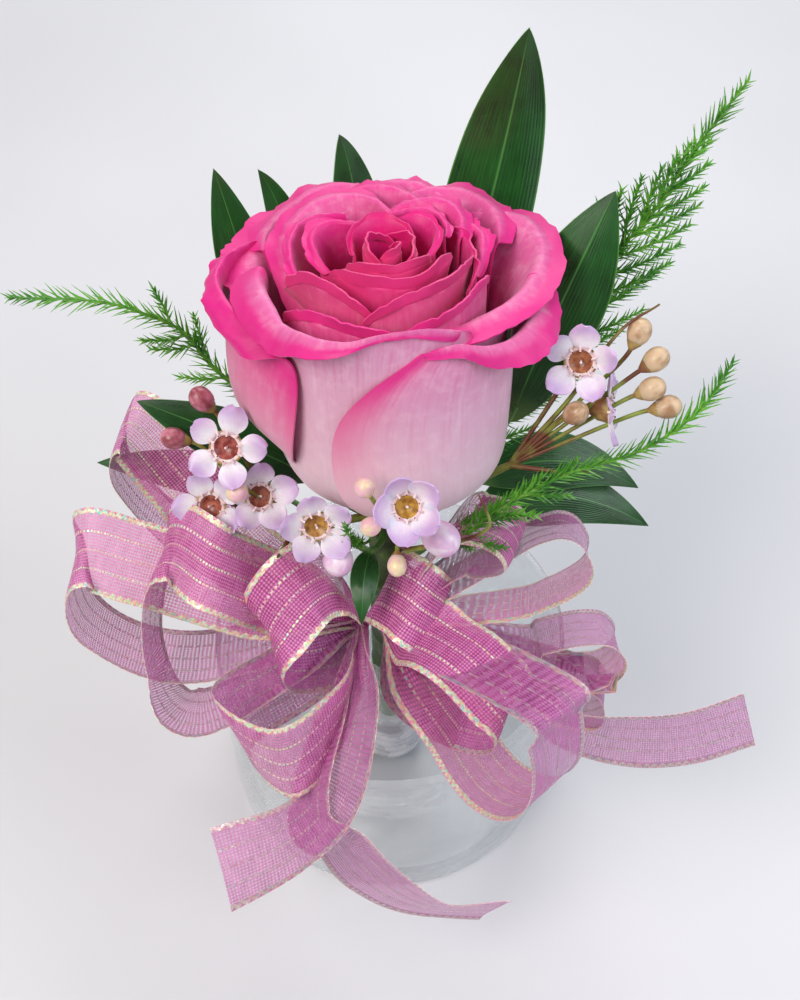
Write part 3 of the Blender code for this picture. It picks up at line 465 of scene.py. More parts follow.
def petalSheet(row, number):
    place = rosePlace()
    middle = curveAt(row["rim"], 0.5)[0]
    wall, foot = row["wall"], row["foot"]
    spread = {-1: row.get("left", rose["plain"]), 1: row.get("right", rose["plain"])}
    clockwise = 1 if row["rim"][-1][0] > row["rim"][0][0] else -1
    fineness = 0.45 + 0.55 * min(1.0, wall / 16)

    def pointAt(u, v):
        nick = max(0.0, noise.noise(Vector((13 * u, 0.5, 9.1 * number))))
        nick += 0.4 * abs(math.sin(19 * u + number)) ** 9
        rounded = v * (1 - 0.07 * abs(u) ** 5 - 0.034 * fineness * nick)
        near, rise, far, climb = row.get("low", (0.66, 0.05, 0.95, 0.22))
        azimuth, radius, height = curveAt(row["rim"], (u * clockwise + 1) / 2)
        lip = row["lip"]
        out, up = curveAt(lip, (u * clockwise + 1) / 2) if isinstance(lip[0], tuple) else lip
        tall = height - foot
        line = (
            (2.0, foot), (wall * near, foot + rise * tall), (wall * far, foot + climb * tall),
            (wall, foot + 0.5 * tall), (wall + 0.15 * (radius - out - wall), height + up - 0.2 * tall),
            (radius - out, height + up), (radius - 0.45 * out, height + 0.72 * up), (radius, height),
        )
        reach, level = curveAt(line, rounded)
        sideways = curveAt([(value,) for value in spread[1 if u > 0 else -1]], rounded)[0]
        wider = 1 + (sideways - 1) * math.sin(math.pi / 2 * abs(u))
        turn = math.radians(middle + (azimuth - middle) * wider)
        wave = math.sin(7.3 * u + 2.1 * number) * 0.30 + math.sin(17 * u + 3.7 * number) * 0.13
        crinkle = noise.noise(Vector((9 * u, 5 * v, 3.1 * number))) * 0.5
        wobble = fineness * (wave * rounded**8 * 1.5 + crinkle * 0.9 * rounded**3)
        bow = 0.25 * math.sin(4 * u + number) * rounded**2
        tuck = row.get("tuck", 0) * ease(u * 1.1) * ease((0.97 - v) / 0.35)
        reach = reach + wobble + bow - tuck
        return place @ Vector((reach * math.cos(turn), reach * math.sin(turn), level + 0.6 * wobble))

    return pointAt


def petalPaint(row):
    # how hot the pink is, from the margins inwards, and how pale the face is
    def hot(u, v):
        rim = ease((v - 0.74) / 0.26) ** 1.5
        band = 0.10 + row["edge"]
        left = ease((band - (1 + u)) / band)
        right = ease((0.10 - (1 - u)) / 0.10)
        flush = 0.25 * ease((v - 0.4) / 0.45) + row["blush"] * ease((v + 0.1) / 0.6) * 0.6
        return min(1.0, flush + max(rim, 0.6 * left, 0.6 * right))

    heart = 1 - min(1.0, row["wall"] / 20)
    return {"hot": hot, "pale": lambda u, v: row["pale"], "heart": lambda u, v: heart}


def makePetalFace(name, outer):
    board = Board(name, Sheen_Weight=0.22, Sheen_Roughness=0.4, Specular_IOR_Level=0.32)
    across, along = board.sheetPlace()
    hot, pale, heart = (board.painted(name) for name in ("hot", "pale", "heart"))
    fan = (across - 0.5) * (1.3 - along * 0.5)
    veins = board.grain(board.point(fan * 50, along * 3.5, heart * 7), 1.5, 3, 0.6)
    streaks = board.grain(board.point(fan * 17, along * 5, heart * 3), 1.3, 4, 0.65)
    mottle = board.grain(board.place(), 420, 3, 0.6)
    patch = board.grain(board.place(), 70, 2)
    if outer:
        ground = board.blend(pale, "dc3c90", "da9fc0")
        ground = board.blend(board.ease(patch, 0.35, 0.7) * 0.35, ground, "cf70a4")
        ground = board.blend(board.ease(streaks, 0.5, 0.72) * 0.38, ground, "e8cadc")
    else:
        middle = board.ease(along, 0.25, 0.7) * board.ease(1 - heart, 0.1, 0.7)
        ground = board.blend(middle * (0.35 + pale * 0.4), "d8287e", "e08cbc")
        ground = board.blend(board.ease(patch, 0.35, 0.7) * 0.35, ground, "de4c9c")
    ground = board.blend(board.ease(veins, 0.45, 0.66) * (0.20 if outer else 0.18), ground, "c8488c")
    ground = board.blend(board.ease(mottle, 0.45, 0.7) * 0.34, ground, "f0c6dc")
    strong = board.ease(hot + (veins - 0.5) * 0.3, 0.05, 0.95)
    ground = board.blend(strong * 0.94, ground, "dc1a84")
    # painted shade: the colour darkens to crimson towards each petal's foot, in the shaded throat of the
    # bloom, more on the inner faces and on the inner petals
    throatShade = board.ease(1 - along, 0.3, 0.9)
    ground = board.blend(throatShade * (0.10 if outer else heart * 0.5 + 0.25), ground, "b40e4c")
    ground = board.blend(board.ease(heart, 0.25, 0.9) * 0.5, ground, "d0125e")
    if outer:
        ground = board.blend(board.ease(heart, 0.06, 0.3) * 0.45, ground, "e2487e")
        low = board.ease(1 - along, 0.32, 0.80) * board.ease(1 - heart, 0.7, 0.95)
        ground = board.blend(low * 0.78, ground, "f0dfe4")
    board.wire("Base Color", ground)
    board.wire("Roughness", board.ease(mottle, 0.3, 0.8) * 0.14 + 0.42)
    board.emboss(veins * 0.4 + streaks * 0.3 + mottle * 0.4, 0.26, 0.0004)
    return board.material


def buildRose():
    bm = bmesh.new()
    for number, row in enumerate(rose["petals"]):
        grid = rose["heartGrid" if row["wall"] < 10 else "grid"]
        sheet(bm, petalSheet(row, number), *grid, paint=petalPaint(row))
    inner, outer = makePetalFace("petalInside", False), makePetalFace("petalOutside", True)
    petals = finished("rosePetals", bm, [outer, inner], recalculate=False)
    thickened(petals, rose["thickness"])
    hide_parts("rose_bloom")

    bm = turned([curveAt(rose["core"], k / 24) for k in range(25)], 32, rosePlace())
    heart = twoTone("roseHeart", "a00f42", "c2185a", 300, bump=(0.2, 0.0004), Roughness=0.6)
    core = finished("roseCore", bm, [heart])
    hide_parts("rose_bloom")
    print("rose made,", len(rose["petals"]), "petals")


# Stem, binding and tie

stem = {
    "line": ((0, 0, 16.4), (0, 0, 42), (0, 2.2, 62), (0, 5.6, 78), (0, 7.3, 86)),
    "radius": 4.0, "wraps": 9, "sepals": 5, "sepal": 10.5, "sepalThickness": 0.35,
    "hip": ((0, -4), (3.4, -4), (3.6, -2), (4.6, 0), (5.5, 1.2), (5.2, 1.9), (3, 1.7), (0, 1.7)),
}


def stemPoint(height):
    line = [Vector(p) for p in stem["line"]]
    for low, high in zip(line, line[1:]):
        if height <= high.z:
            return low.lerp(high, (height - low.z) / (high.z - low.z))
    return line[-1]


def stemPort(height, azimuth):
    turn = math.radians(azimuth)
    out = Vector((math.cos(turn), math.sin(turn), 0))
    return stemPoint(height) + out * (stem["radius"] - 0.4), out


def buildStem():
    line = pathThrough(stem["line"], 90)
    bm = bmesh.new()

    def wrapped(u, v):
        # crepe tape wound up the stem, each turn lapping the one below
        place = v * (len(line) - 1.001)
        k = int(place)
        here = line[k].lerp(line[k + 1], place - k)
        along = (line[k + 1] - line[k]).normalized()
        side = along.cross(Vector((0, 1, 0))).normalized()
        other = along.cross(side)
        turn = math.pi * u
        lap = (v * stem["wraps"] + turn / (2 * math.pi)) % 1
        radius = stem["radius"] - 0.35 + 0.32 * lap + 0.1 * math.sin(5 * turn + 30 * v)
        radius *= 0.2 + 0.8 * ease(min(v, 1.02 - v) * 60) ** 0.5
        return here + side * (radius * math.cos(turn)) + other * (radius * math.sin(turn))

    sheet(bm, wrapped, 32, 200)
    bmesh.ops.remove_doubles(bm, verts=bm.verts, dist=0.003 * mm)
    bmesh.ops.holes_fill(bm, edges=bm.edges, sides=0)
    board = Board("floralTape", Sheen_Weight=0.1)
    across, along = board.sheetPlace()
    crepe = board.grain(board.point(across * 60, along * 300, 0.0), 1.0, 3)
    stretch = board.grain(board.place(), 250, 2)
    board.wire("Base Color", board.blend(board.ease(stretch, 0.3, 0.7), "2f4a24", "5a7d3f"))
    board.wire("Roughness", board.ease(crepe, 0.3, 0.8) * 0.25 + 0.5)
    board.emboss(crepe, 0.5, 0.0003)
    tape = finished("stemTape", bm, [board.material])
    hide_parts("taped_stem")

    top = line[-1]
    up = (Vector(rose["base"]) - top).normalized()
    bm = turned([curveAt(stem["hip"], k / 28) for k in range(29)], 32, facing(top, up))
    for k in range(stem["sepals"]):
        turn = math.radians(36 + 360 / stem["sepals"] * k)
        out = Vector((math.cos(turn), math.sin(turn), 0))
        side = Vector((-out.y, out.x, 0))
        root = top + up * 0.6 + out * 4.2

        def sepal(u, v, out=out, side=side, root=root):
            half = 2.3 * (1 - v) ** 0.75 * (1 + 0.12 * math.sin(26 * v)) + 0.05
            fall = -4.2 * v**1.6 + 0.5 * abs(u) * half * 0.4
            return root + out * (stem["sepal"] - 4) * v + side * (u * half) + Vector((0, 0, fall))

        made = sheet(bm, sepal, 6, 16)
        faces = list({face for vert in made for face in vert.link_faces})
        bmesh.ops.solidify(bm, geom=faces, thickness=stem["sepalThickness"] * mm)
    green = twoTone("sepalGreen", "4f7a35", "86a45a", 260, bump=(0.2, 0.0003), Roughness=0.5)
    hips = finished("roseHip", bm, [green])
    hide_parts("taped_stem")

    wire = twoTone("coatedWire", "26492a", "3f6b3a", 500, rough=(0.3, 0.8, 0.3, 0.3))
    nodes["tie_wire"].data.materials.clear()
    nodes["tie_wire"].data.materials.append(wire)
    print("stem and tie made")


# Leaves: height and azimuth where the stalk leaves the stem, then the foot, two shaping points and the tip of
# the blade, its width, and the way that its upper face looks

leaves = {
    "leaf_back_tall": (
        80, 75, (12, 36, 90), (18, 50, 110), (23, 57, 134), (24.5, 54, 155), 18, (0, -0.9, 0.4),
    ),
    "leaf_right": (
        80, 36, (23, 16, 95), (28, 22, 111), (35.5, 30, 126), (40, 35, 135), 16, (-0.3, -0.8, 0.5),
    ),
    "leaf_back_mid": (
        74, 100, (-5, 38, 92), (-5, 50, 104), (-6, 56, 120), (-9, 52, 134), 11, (0.3, -0.9, 0.3),
    ),
    "leaf_back_left_inner": (
        80, 122, (-13, 34, 92), (-17, 42, 104), (-19, 48, 120), (-24, 47, 130), 8, (0, -0.9, 0.4),
    ),
    "leaf_back_left_outer": (
        75, 137, (-18, 28, 90), (-25, 36, 102), (-29, 44, 118), (-32, 46, 131), 11, (0.4, -0.8, 0.4),
    ),
    "leaf_left": (
        79, 170, (-14, 11, 84), (-24, 12, 91), (-36, 13, 99), (-47, 16, 101), 11, (0, -0.5, 0.86),
    ),
    "leaf_far_left": (
        68, 156, (-20, 17, 70), (-34, 23, 71), (-48, 28, 69), (-62, 30, 66), 10, (0, -0.4, 0.9),
    ),
    "leaf_front": (
        78, -106, (-3.4, -4, 81.5), (-4.4, -9, 84), (-4.8, -14, 83.5), (-5, -18, 77), 5.4, (0, -0.6, 0.8),
    ),
    "leaf_low_right_upper": (
        72, 40, (17, 17, 76), (28, 21, 80), (39, 22, 79), (51, 20, 70), 12, (0, -0.6, 0.8),
    ),
    "leaf_low_right_lower": (
        66, 30, (18, 14.5, 69), (28, 18.5, 73), (40, 19, 71), (54, 17, 61), 13, (0, -0.6, 0.8),
    ),
}
leafShape = {"grid": (16, 60), "thickness": 0.32, "stalk": (0.8, 0.55)}


def makeLeaf():
    board = Board("leafGloss", IOR=1.45, Coat_Weight=0.25, Coat_Roughness=0.18)
    across, along = board.sheetPlace()
    side = abs(across - 0.5) * 2
    ribs = (across * 150).sine() * 0.5 + 0.5
    fine = board.grain(board.point(across * 40, along * 3, 0.0), 2.2, 3)
    patch = board.grain(board.place(), 90, 3)
    green = board.blend(board.ease(patch, 0.3, 0.7), "0d3411", "19561c")
    green = board.blend(board.ease(fine, 0.45, 0.7) * 0.5, green, "2a742a")
    green = board.blend(ribs**3 * 0.10, green, "4a9440")
    green = board.blend(board.ease(1 - side, 0.955, 0.995) * 0.6, green, "5ea450")
    green = board.blend(board.ease(side, 0.95, 1.0) * 0.7, green, "6fae55")
    green = board.blend(board.ease(1 - along, 0.86, 1.0) * 0.6, green, "7fae58")
    board.wire("Base Color", green)
    board.wire("Roughness", board.ease(patch, 0.3, 0.8) * 0.16 + 0.24)
    board.emboss(ribs * 0.5 + fine * 0.5 - board.ease(1 - side, 0.92, 1.0) * 0.8, 0.3, 0.0004)
    return board.material


def buildLeaves():
    gloss = makeLeaf()
    green = twoTone("leafStalk", "3f7a2f", "6f9d4a", 300, 2, bump=(0.2, 0.0003), Roughness=0.45)
    for number, (node, row) in enumerate(leaves.items()):
        height, azimuth, foot, second, third, tip, width, face = row
        start, out = stemPort(height, azimuth)
        foot, second, face = Vector(foot), Vector(second), Vector(face)
        rib = (foot, second, third, tip)

        def blade(u, v):
            here = bezier(rib, v)
            along = (bezier(rib, min(1, v + 0.02)) - bezier(rib, max(0, v - 0.02))).normalized()
            side = along.cross(face).normalized()
            lift = side.cross(along)
            half = max(0.06, width / 2 * max(0.0, math.sin(math.pi * v**0.82)) ** 0.85)
            half *= 1 + 0.03 * math.sin(9 * v + 2 * number)
            fold = 0.22 * abs(u) ** 1.4 * half
            wave = 0.035 * width * abs(u) ** 2 * math.sin(8 * v + 3 * u + number) * math.sin(math.pi * v)
            return here + side * (u * half) - lift * (fold + wave)

        bm = bmesh.new()
        sheet(bm, blade, *leafShape["grid"])
        bmesh.ops.remove_doubles(bm, verts=bm.verts, dist=0.004 * mm)
        bmesh.ops.solidify(bm, geom=list(bm.faces), thickness=leafShape["thickness"] * mm)
        bend = [start, start + out * 5, foot - (second - foot) * 0.25, foot + (second - foot) * 0.2]
        before = set(bm.faces)
        stalk(bm, [bezier(bend, k / 14) for k in range(15)], *leafShape["stalk"], sides=8)
        tagged(bm, before, 1)
        piece = finished(node.replace("leaf", "blade"), bm, [gloss, green], 60)
        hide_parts(node)
    print("leaves made")


# Ferns: height and azimuth at the stem, points along the axis, and side sprigs as the share of the axis where
# each starts, its direction and its length

ferns = {
    "fern_right_high": (
        (75, 52),
        ((15, 21, 84), (31, 30, 101), (40, 34, 118), (47.5, 34, 132), (53, 38, 141), (61, 42, 153)),
        (
            (0.27, (0.95, -0.1, 0.0), 14), (0.30, (0.95, 0.0, 0.2), 16), (0.33, (-0.5, 0.2, 0.8), 11),
            (0.35, (0.9, -0.1, 0.2), 18), (0.38, (-0.5, 0.2, 0.8), 13), (0.39, (0.95, 0.2, 0.05), 18),
            (0.42, (-0.45, 0.3, 0.85), 14), (0.43, (0.95, 0.0, 0.1), 17), (0.46, (-0.4, 0.2, 0.85), 15),
            (0.47, (0.95, 0.2, 0.15), 17), (0.50, (-0.4, 0.2, 0.85), 15), (0.51, (0.95, 0.0, 0.1), 16),
            (0.54, (-0.3, 0.2, 0.9), 15), (0.55, (0.95, 0.0, 0.1), 15), (0.58, (-0.2, 0.2, 0.95), 14),
            (0.59, (0.95, 0.1, 0.1), 14), (0.62, (-0.1, 0.2, 0.97), 13), (0.64, (0.9, 0.1, 0.2), 12),
            (0.67, (0.0, 0.2, 0.95), 11), (0.69, (0.9, 0.1, 0.3), 10), (0.72, (0.1, 0.3, 0.95), 9),
            (0.75, (0.85, 0.1, 0.4), 8), (0.79, (0.2, 0.3, 0.95), 6), (0.83, (0.8, 0.2, 0.5), 5),
        ),
    ),
    "fern_right_low": (
        (79, -14),
        ((13, -5, 87), (20, -5, 95), (31, -2, 101), (45, 0, 106), (55, 5, 111), (61, 12, 116)),
        (
            (0.16, (0.6, -0.6, 0.2), 9), (0.20, (0.5, -0.6, 0.3), 10), (0.23, (0.8, 0.5, 0.1), 9),
            (0.26, (0.6, 0.6, 0.4), 9), (0.30, (0.7, -0.6, 0.1), 9), (0.34, (0.7, 0.5, 0.5), 9),
            (0.38, (0.6, -0.5, 0.5), 8), (0.42, (0.6, -0.6, 0.2), 8), (0.46, (0.7, 0.5, 0.5), 7),
            (0.50, (0.7, -0.5, 0.1), 7), (0.55, (0.7, 0.5, 0.5), 5),
        ),
    ),
    "fern_left": (
        (82, 152),
        ((-16, 17, 88), (-32, 23, 101), (-38, 25, 110), (-45, 25, 115), (-53, 25, 118), (-69, 26, 118)),
        (
            (0.26, (0.2, 0.4, 0.9), 7), (0.30, (-0.9, 0.2, -0.1), 8), (0.36, (0.1, 0.4, 0.9), 8),
            (0.42, (-0.9, -0.2, -0.3), 8), (0.48, (0.1, 0.3, 0.95), 8), (0.52, (-0.8, -0.3, -0.4), 8),
            (0.56, (-0.8, -0.5, -0.2), 8), (0.62, (0.0, 0.4, 0.9), 7),
        ),
    ),
    "fern_front": (
        (79, -124),
        ((-6, -5.5, 86), (-7.2, -11, 95), (-7.4, -13.5, 102)),
        ((0.45, (-0.3, -0.7, 0.6), 4), (0.6, (0.5, -0.6, 0.6), 3.5), (0.7, (-0.5, -0.4, 0.8), 3)),
    ),
}
needle = {
    "length": 4.4, "radius": 0.2, "spacing": 0.30, "lean": 38.0, "golden": 137.5,
    "bareShare": 0.22, "sideShare": 0.86, "frontShare": 0.6,
}


def needleShape():
    bm = bmesh.new()
    bmesh.ops.create_cone(bm, cap_ends=True, segments=4, radius1=needle["radius"], radius2=0.03, depth=1.0)
    bmesh.ops.translate(bm, vec=(0, 0, 0.5), verts=bm.verts)
    long = [edge for edge in bm.edges if abs(edge.verts[0].co.z - edge.verts[1].co.z) > 0.5]
    bmesh.ops.subdivide_edges(bm, edges=long, cuts=2)
    for vert in bm.verts:
        vert.co.x *= 1 + 0.4 * math.sin(math.pi * vert.co.z)
        vert.co.y *= 1 + 0.4 * math.sin(math.pi * vert.co.z)
        vert.co.x += 0.10 * vert.co.z**2
    mesh = bpy.data.meshes.new("needle")
    bm.to_mesh(mesh)
    bm.free()
    return mesh


def needlesAlong(bm, shape, line, start, chance, longest):
    lengths = [0.0]
    for a, b in zip(line, line[1:]):
        lengths.append(lengths[-1] + (b - a).length)
    travelled = start
    number = chance.randrange(20)
    while travelled < lengths[-1]:
        k = max(i for i, length in enumerate(lengths[:-1]) if length <= travelled)
        along = (line[k + 1] - line[k]).normalized()
        here = line[k] + along * (travelled - lengths[k])
        side = along.orthogonal().normalized()
        side.rotate(Matrix.Rotation(math.radians(needle["golden"] * number), 3, along))
        lean = math.radians(needle["lean"] + chance.uniform(-9, 9))
        way = along * math.cos(lean) + side * math.sin(lean)
        left = lengths[-1] - travelled
        size = longest * (0.45 + 0.55 * ease(left / 9)) * chance.uniform(0.8, 1.1)
        before = len(bm.verts)
        bm.from_mesh(shape)
        bm.verts.ensure_lookup_table()
        place = facing(here * mm, way) @ Matrix.Diagonal((mm, mm, size * mm, 1))
        bmesh.ops.transform(bm, matrix=place, verts=bm.verts[before:])
        travelled += needle["spacing"] * chance.uniform(0.75, 1.25)
        number += 1


def makeFern():
    board = Board("fernGreen")
    patch = board.grain(board.place(), 110, 3)
    speck = board.grain(board.place(), 700, 2)
    green = board.blend(board.ease(patch, 0.3, 0.7), "2a7a1c", "68b634")
    green = board.blend(board.ease(speck, 0.5, 0.75) * 0.5, green, "a0d65c")
    board.wire("Base Color", green)
    board.wire("Roughness", board.ease(speck, 0.3, 0.8) * 0.2 + 0.36)
    board.emboss(speck, 0.2, 0.0002)
    stem = twoTone("fernStem", "3c7a24", "76a83c", 300, 2, bump=(0.2, 0.0003), Roughness=0.5)
    return board.material, stem


def buildFerns():
    paints = makeFern()
    shape = needleShape()
    for number, (node, ((height, azimuth), points, sprigs)) in enumerate(ferns.items()):
        chance = random.Random(31 + number)
        start, out = stemPort(height, azimuth)
        axis = pathThrough([start, start + out * 4, *points], 60)
        small = needle["frontShare"] if node == "fern_front" else 1.0
        bm = bmesh.new()
        bare = needle["bareShare"] * sum((b - a).length for a, b in zip(axis, axis[1:]))
        lines = [(axis, 0.55 * small, 0.16, bare)]
        for share, direction, length in sprigs:
            place = share * (len(axis) - 1)
            k = int(place)
            root = axis[k].lerp(axis[k + 1], place - k)
            forward = (axis[k + 1] - axis[k]).normalized()
            way = (Vector(direction).normalized() + forward * 0.45).normalized()
            tip = root + way * length + forward * (0.12 * length)
            bend = root.lerp(tip, 0.5) + forward * (-0.09 * length)
            lines.append((pathThrough([root, bend, tip], 12), 0.28, 0.1, 1.0))
        stems = bmesh.new()
        for line, thick, thin, _ in lines:
            stalk(stems, line, thick, thin)
        mesh = bpy.data.meshes.new("stems")
        stems.to_mesh(mesh)
        stems.free()
        bm.from_mesh(mesh)
        for face in bm.faces:
            face.material_index = 1
        for place, (line, _, _, bare) in enumerate(lines):
            longest = needle["length"] * small * (1 if place == 0 else needle["sideShare"])
            needlesAlong(bm, shape, line, bare, chance, longest)
        piece = finished(node.replace("fern", "frond"), bm, paints, 60, recalculate=False)
        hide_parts(node)
    print("ferns made")


# Wax flower sprays: height and azimuth at the stem, the fork of the stalk, then flowers as centre, facing,
# petal reach, how golden the disc is and how far the petals close, buds as centre, direction, radius and
# paint, and narrow leaves as the points that each runs through

sprays = {
    "wax_spray_left": (
        (80, -168),
        (-18, -2, 84),
        (
            ((-28.8, 1.2, 105.2), (-0.1, -0.75, 0.65), 7.2, 0.0, 0.12),
            ((-32.8, -1.0, 91), (-0.2, -0.75, 0.62), 6.8, 0.1, 0.3),
            ((-23.6, -1.4, 94.4), (0.35, -0.65, 0.67), 6.6, 0.15, 0.45),
            ((-12.8, -10.4, 97.4), (0.15, -0.85, 0.5), 6.8, 0.75, 0.45),
        ),
        (
            ((-34.5, 14, 104), (-0.6, 0.2, 0.75), 2.2, "rosy"),
            ((-40.0, 9.5, 98), (-0.95, 0, 0.3), 2.1, "rosy"),
            ((-27.2, -3.6, 98.4), (-0.4, -0.6, 0.6), 1.9, "cream"),
            ((-9.0, -13.6, 91.4), (0.2, -0.9, 0.1), 2.8, "lilac"),
        ),
        (((-18, -2, 84), (-24, 4, 90), (-27, 8, 97)), ((-18, -2, 84), (-20, -8, 86), (-20, -12, 90))),
    ),
    "wax_spray_front": (
        (81, -72),
        (3.4, -11.0, 91),
        (((3.2, -18.2, 113), (0.05, -0.72, 0.69), 6.4, 1.0, 0.8),),
        (
            ((-3.8, -14.2, 113), (-0.2, -0.3, 0.9), 1.75, "cream"),
            ((-3.0, -14.8, 103), (-0.5, -0.6, 0.5), 1.75, "cream"),
            ((1.6, -17.4, 95), (0.0, -0.9, -0.2), 1.75, "cream"),
            ((9.2, -17.9, 103.6), (0.6, -0.7, 0.2), 3.1, "lilac"),
        ),
        (((3.4, -11.0, 91), (13, -14, 98), (17.5, -14.5, 103), (15.4, -13.8, 110.5)),),
    ),
    "wax_spray_right": (
        (81, -4),
        (22, 3, 98),
        (
            ((33.4, 8.6, 119.5), (-0.2, -0.8, 0.5), 6.8, 0.3, 0.3),
            ((39.2, 7.4, 109), (0.97, -0.1, 0.2), 6.8, 0.3, 0.1),
        ),
        (
            ((43.8, 13.5, 122), (0.4, 0.5, 0.75), 2.15, "bronze"),
            ((47.0, 10.6, 118), (0.8, 0.3, 0.5), 2.15, "bronze"),
            ((46.4, 6.8, 114.5), (0.85, 0.0, 0.5), 2.15, "bronze"),
            ((49.4, 5.2, 111.5), (0.95, 0.0, 0.25), 2.15, "bronze"),
            ((33.2, 4.6, 110.6), (0.5, -0.3, 0.8), 2.15, "bronze"),
        ),
        (
            ((22, 3, 98), (32, 8, 110), (40, 13, 122), (47, 16, 126)),
            ((22, 3, 98), (30, 0, 100), (36, -1, 101)),
        ),
    ),
}
budPaints = {
    "rosy": ("9a4a55", "d98aa0"), "cream": ("f0e2b4", "f3c2cf"), "lilac": ("e9bfe4", "f6e6f2"),
    "bronze": ("a98462", "d9bd9a"),
}
wax = {
    "petals": 5, "petalGrid": (10, 12), "petalThickness": 0.28, "stamens": 10, "cupShare": 0.42, "steps": 20,
    "budSteps": 18,
}
waxSlots = ("petal", "disc", "stamen", "anther", "calyx", "twig", *budPaints)


def makeWax():
    petal = Board("waxPetal", Subsurface_Weight=0.25, Subsurface_Scale=0.001, Sheen_Weight=0.1)
    across, along = petal.sheetPlace()
    veins = petal.grain(petal.point((across - 0.5) * 16, along * 2, 0.0), 2.0, 2)
    patch = petal.grain(petal.place(), 240, 2)
    ground = petal.blend(petal.ease(along + (patch - 0.5) * 0.8, 0.15, 0.95), "f4ecf4", "cdb0de")
    ground = petal.blend(petal.ease(veins, 0.5, 0.75) * 0.25, ground, "c096cc")
    ground = petal.blend(petal.ease(1 - along, 0.86, 1.0) * 0.5, ground, "dc9cb0")
    petal.wire("Base Color", ground)
    petal.wire("Roughness", petal.ease(veins, 0.3, 0.8) * 0.15 + 0.36)
    petal.emboss(veins, 0.15, 0.0003)

    disc = Board("nectarDisc", Coat_Weight=0.15, Coat_Roughness=0.2)
    gold = disc.painted("gold")
    pit = disc.grain(disc.place(), 900, 3)
    red = disc.blend(disc.ease(pit, 0.3, 0.7), "7c2c2a", "bd6c60")
    yellow = disc.blend(disc.ease(pit, 0.3, 0.7), "98691c", "d4aa48")
    disc.wire("Base Color", disc.blend(gold, red, yellow))
    disc.wire("Roughness", disc.ease(pit, 0.3, 0.8) * 0.25 + 0.28)
    disc.emboss(pit, 0.25, 0.0002)

    stamen = twoTone("stamen", "ecc9cc", "fbf1ee", 800, 2, bump=(0.2, 0.0002), Roughness=0.5)
    anther = twoTone("anther", "4a1512", "7a2a20", 900, 2, bump=(0.2, 0.0002), Roughness=0.6)
    calyx = twoTone("flowerCup", "8c5a3c", "b9a25c", 350, 3, (0.35, 0.65), bump=(0.3, 0.0003), Roughness=0.42)
    twig = twoTone("pedicel", "6b3a22", "8a9a3c", 160, 3, (0.4, 0.62), bump=(0.3, 0.0003), Roughness=0.45)
    spray = [petal.material, disc.material, stamen, anther, calyx, twig]
    for name, (low, high) in budPaints.items():
        bud = Board("bud" + name.title(), Subsurface_Weight=0.25, Subsurface_Scale=0.0012, Coat_Weight=0.15)
        across, along = bud.sheetPlace()
        patch = bud.grain(bud.place(), 260, 3)
        folds = bud.grain(bud.point(across * 5, along * 2, 0.0), 1.5, 2)
        ground = bud.blend(bud.ease(patch + (folds - 0.5) * 0.6, 0.35, 0.65), low, high)
        bud.wire("Base Color", ground)
        bud.wire("Roughness", bud.ease(patch, 0.3, 0.8) * 0.2 + 0.3)
        bud.emboss(folds, 0.2, 0.0004)
        spray.append(bud.material)
    return spray


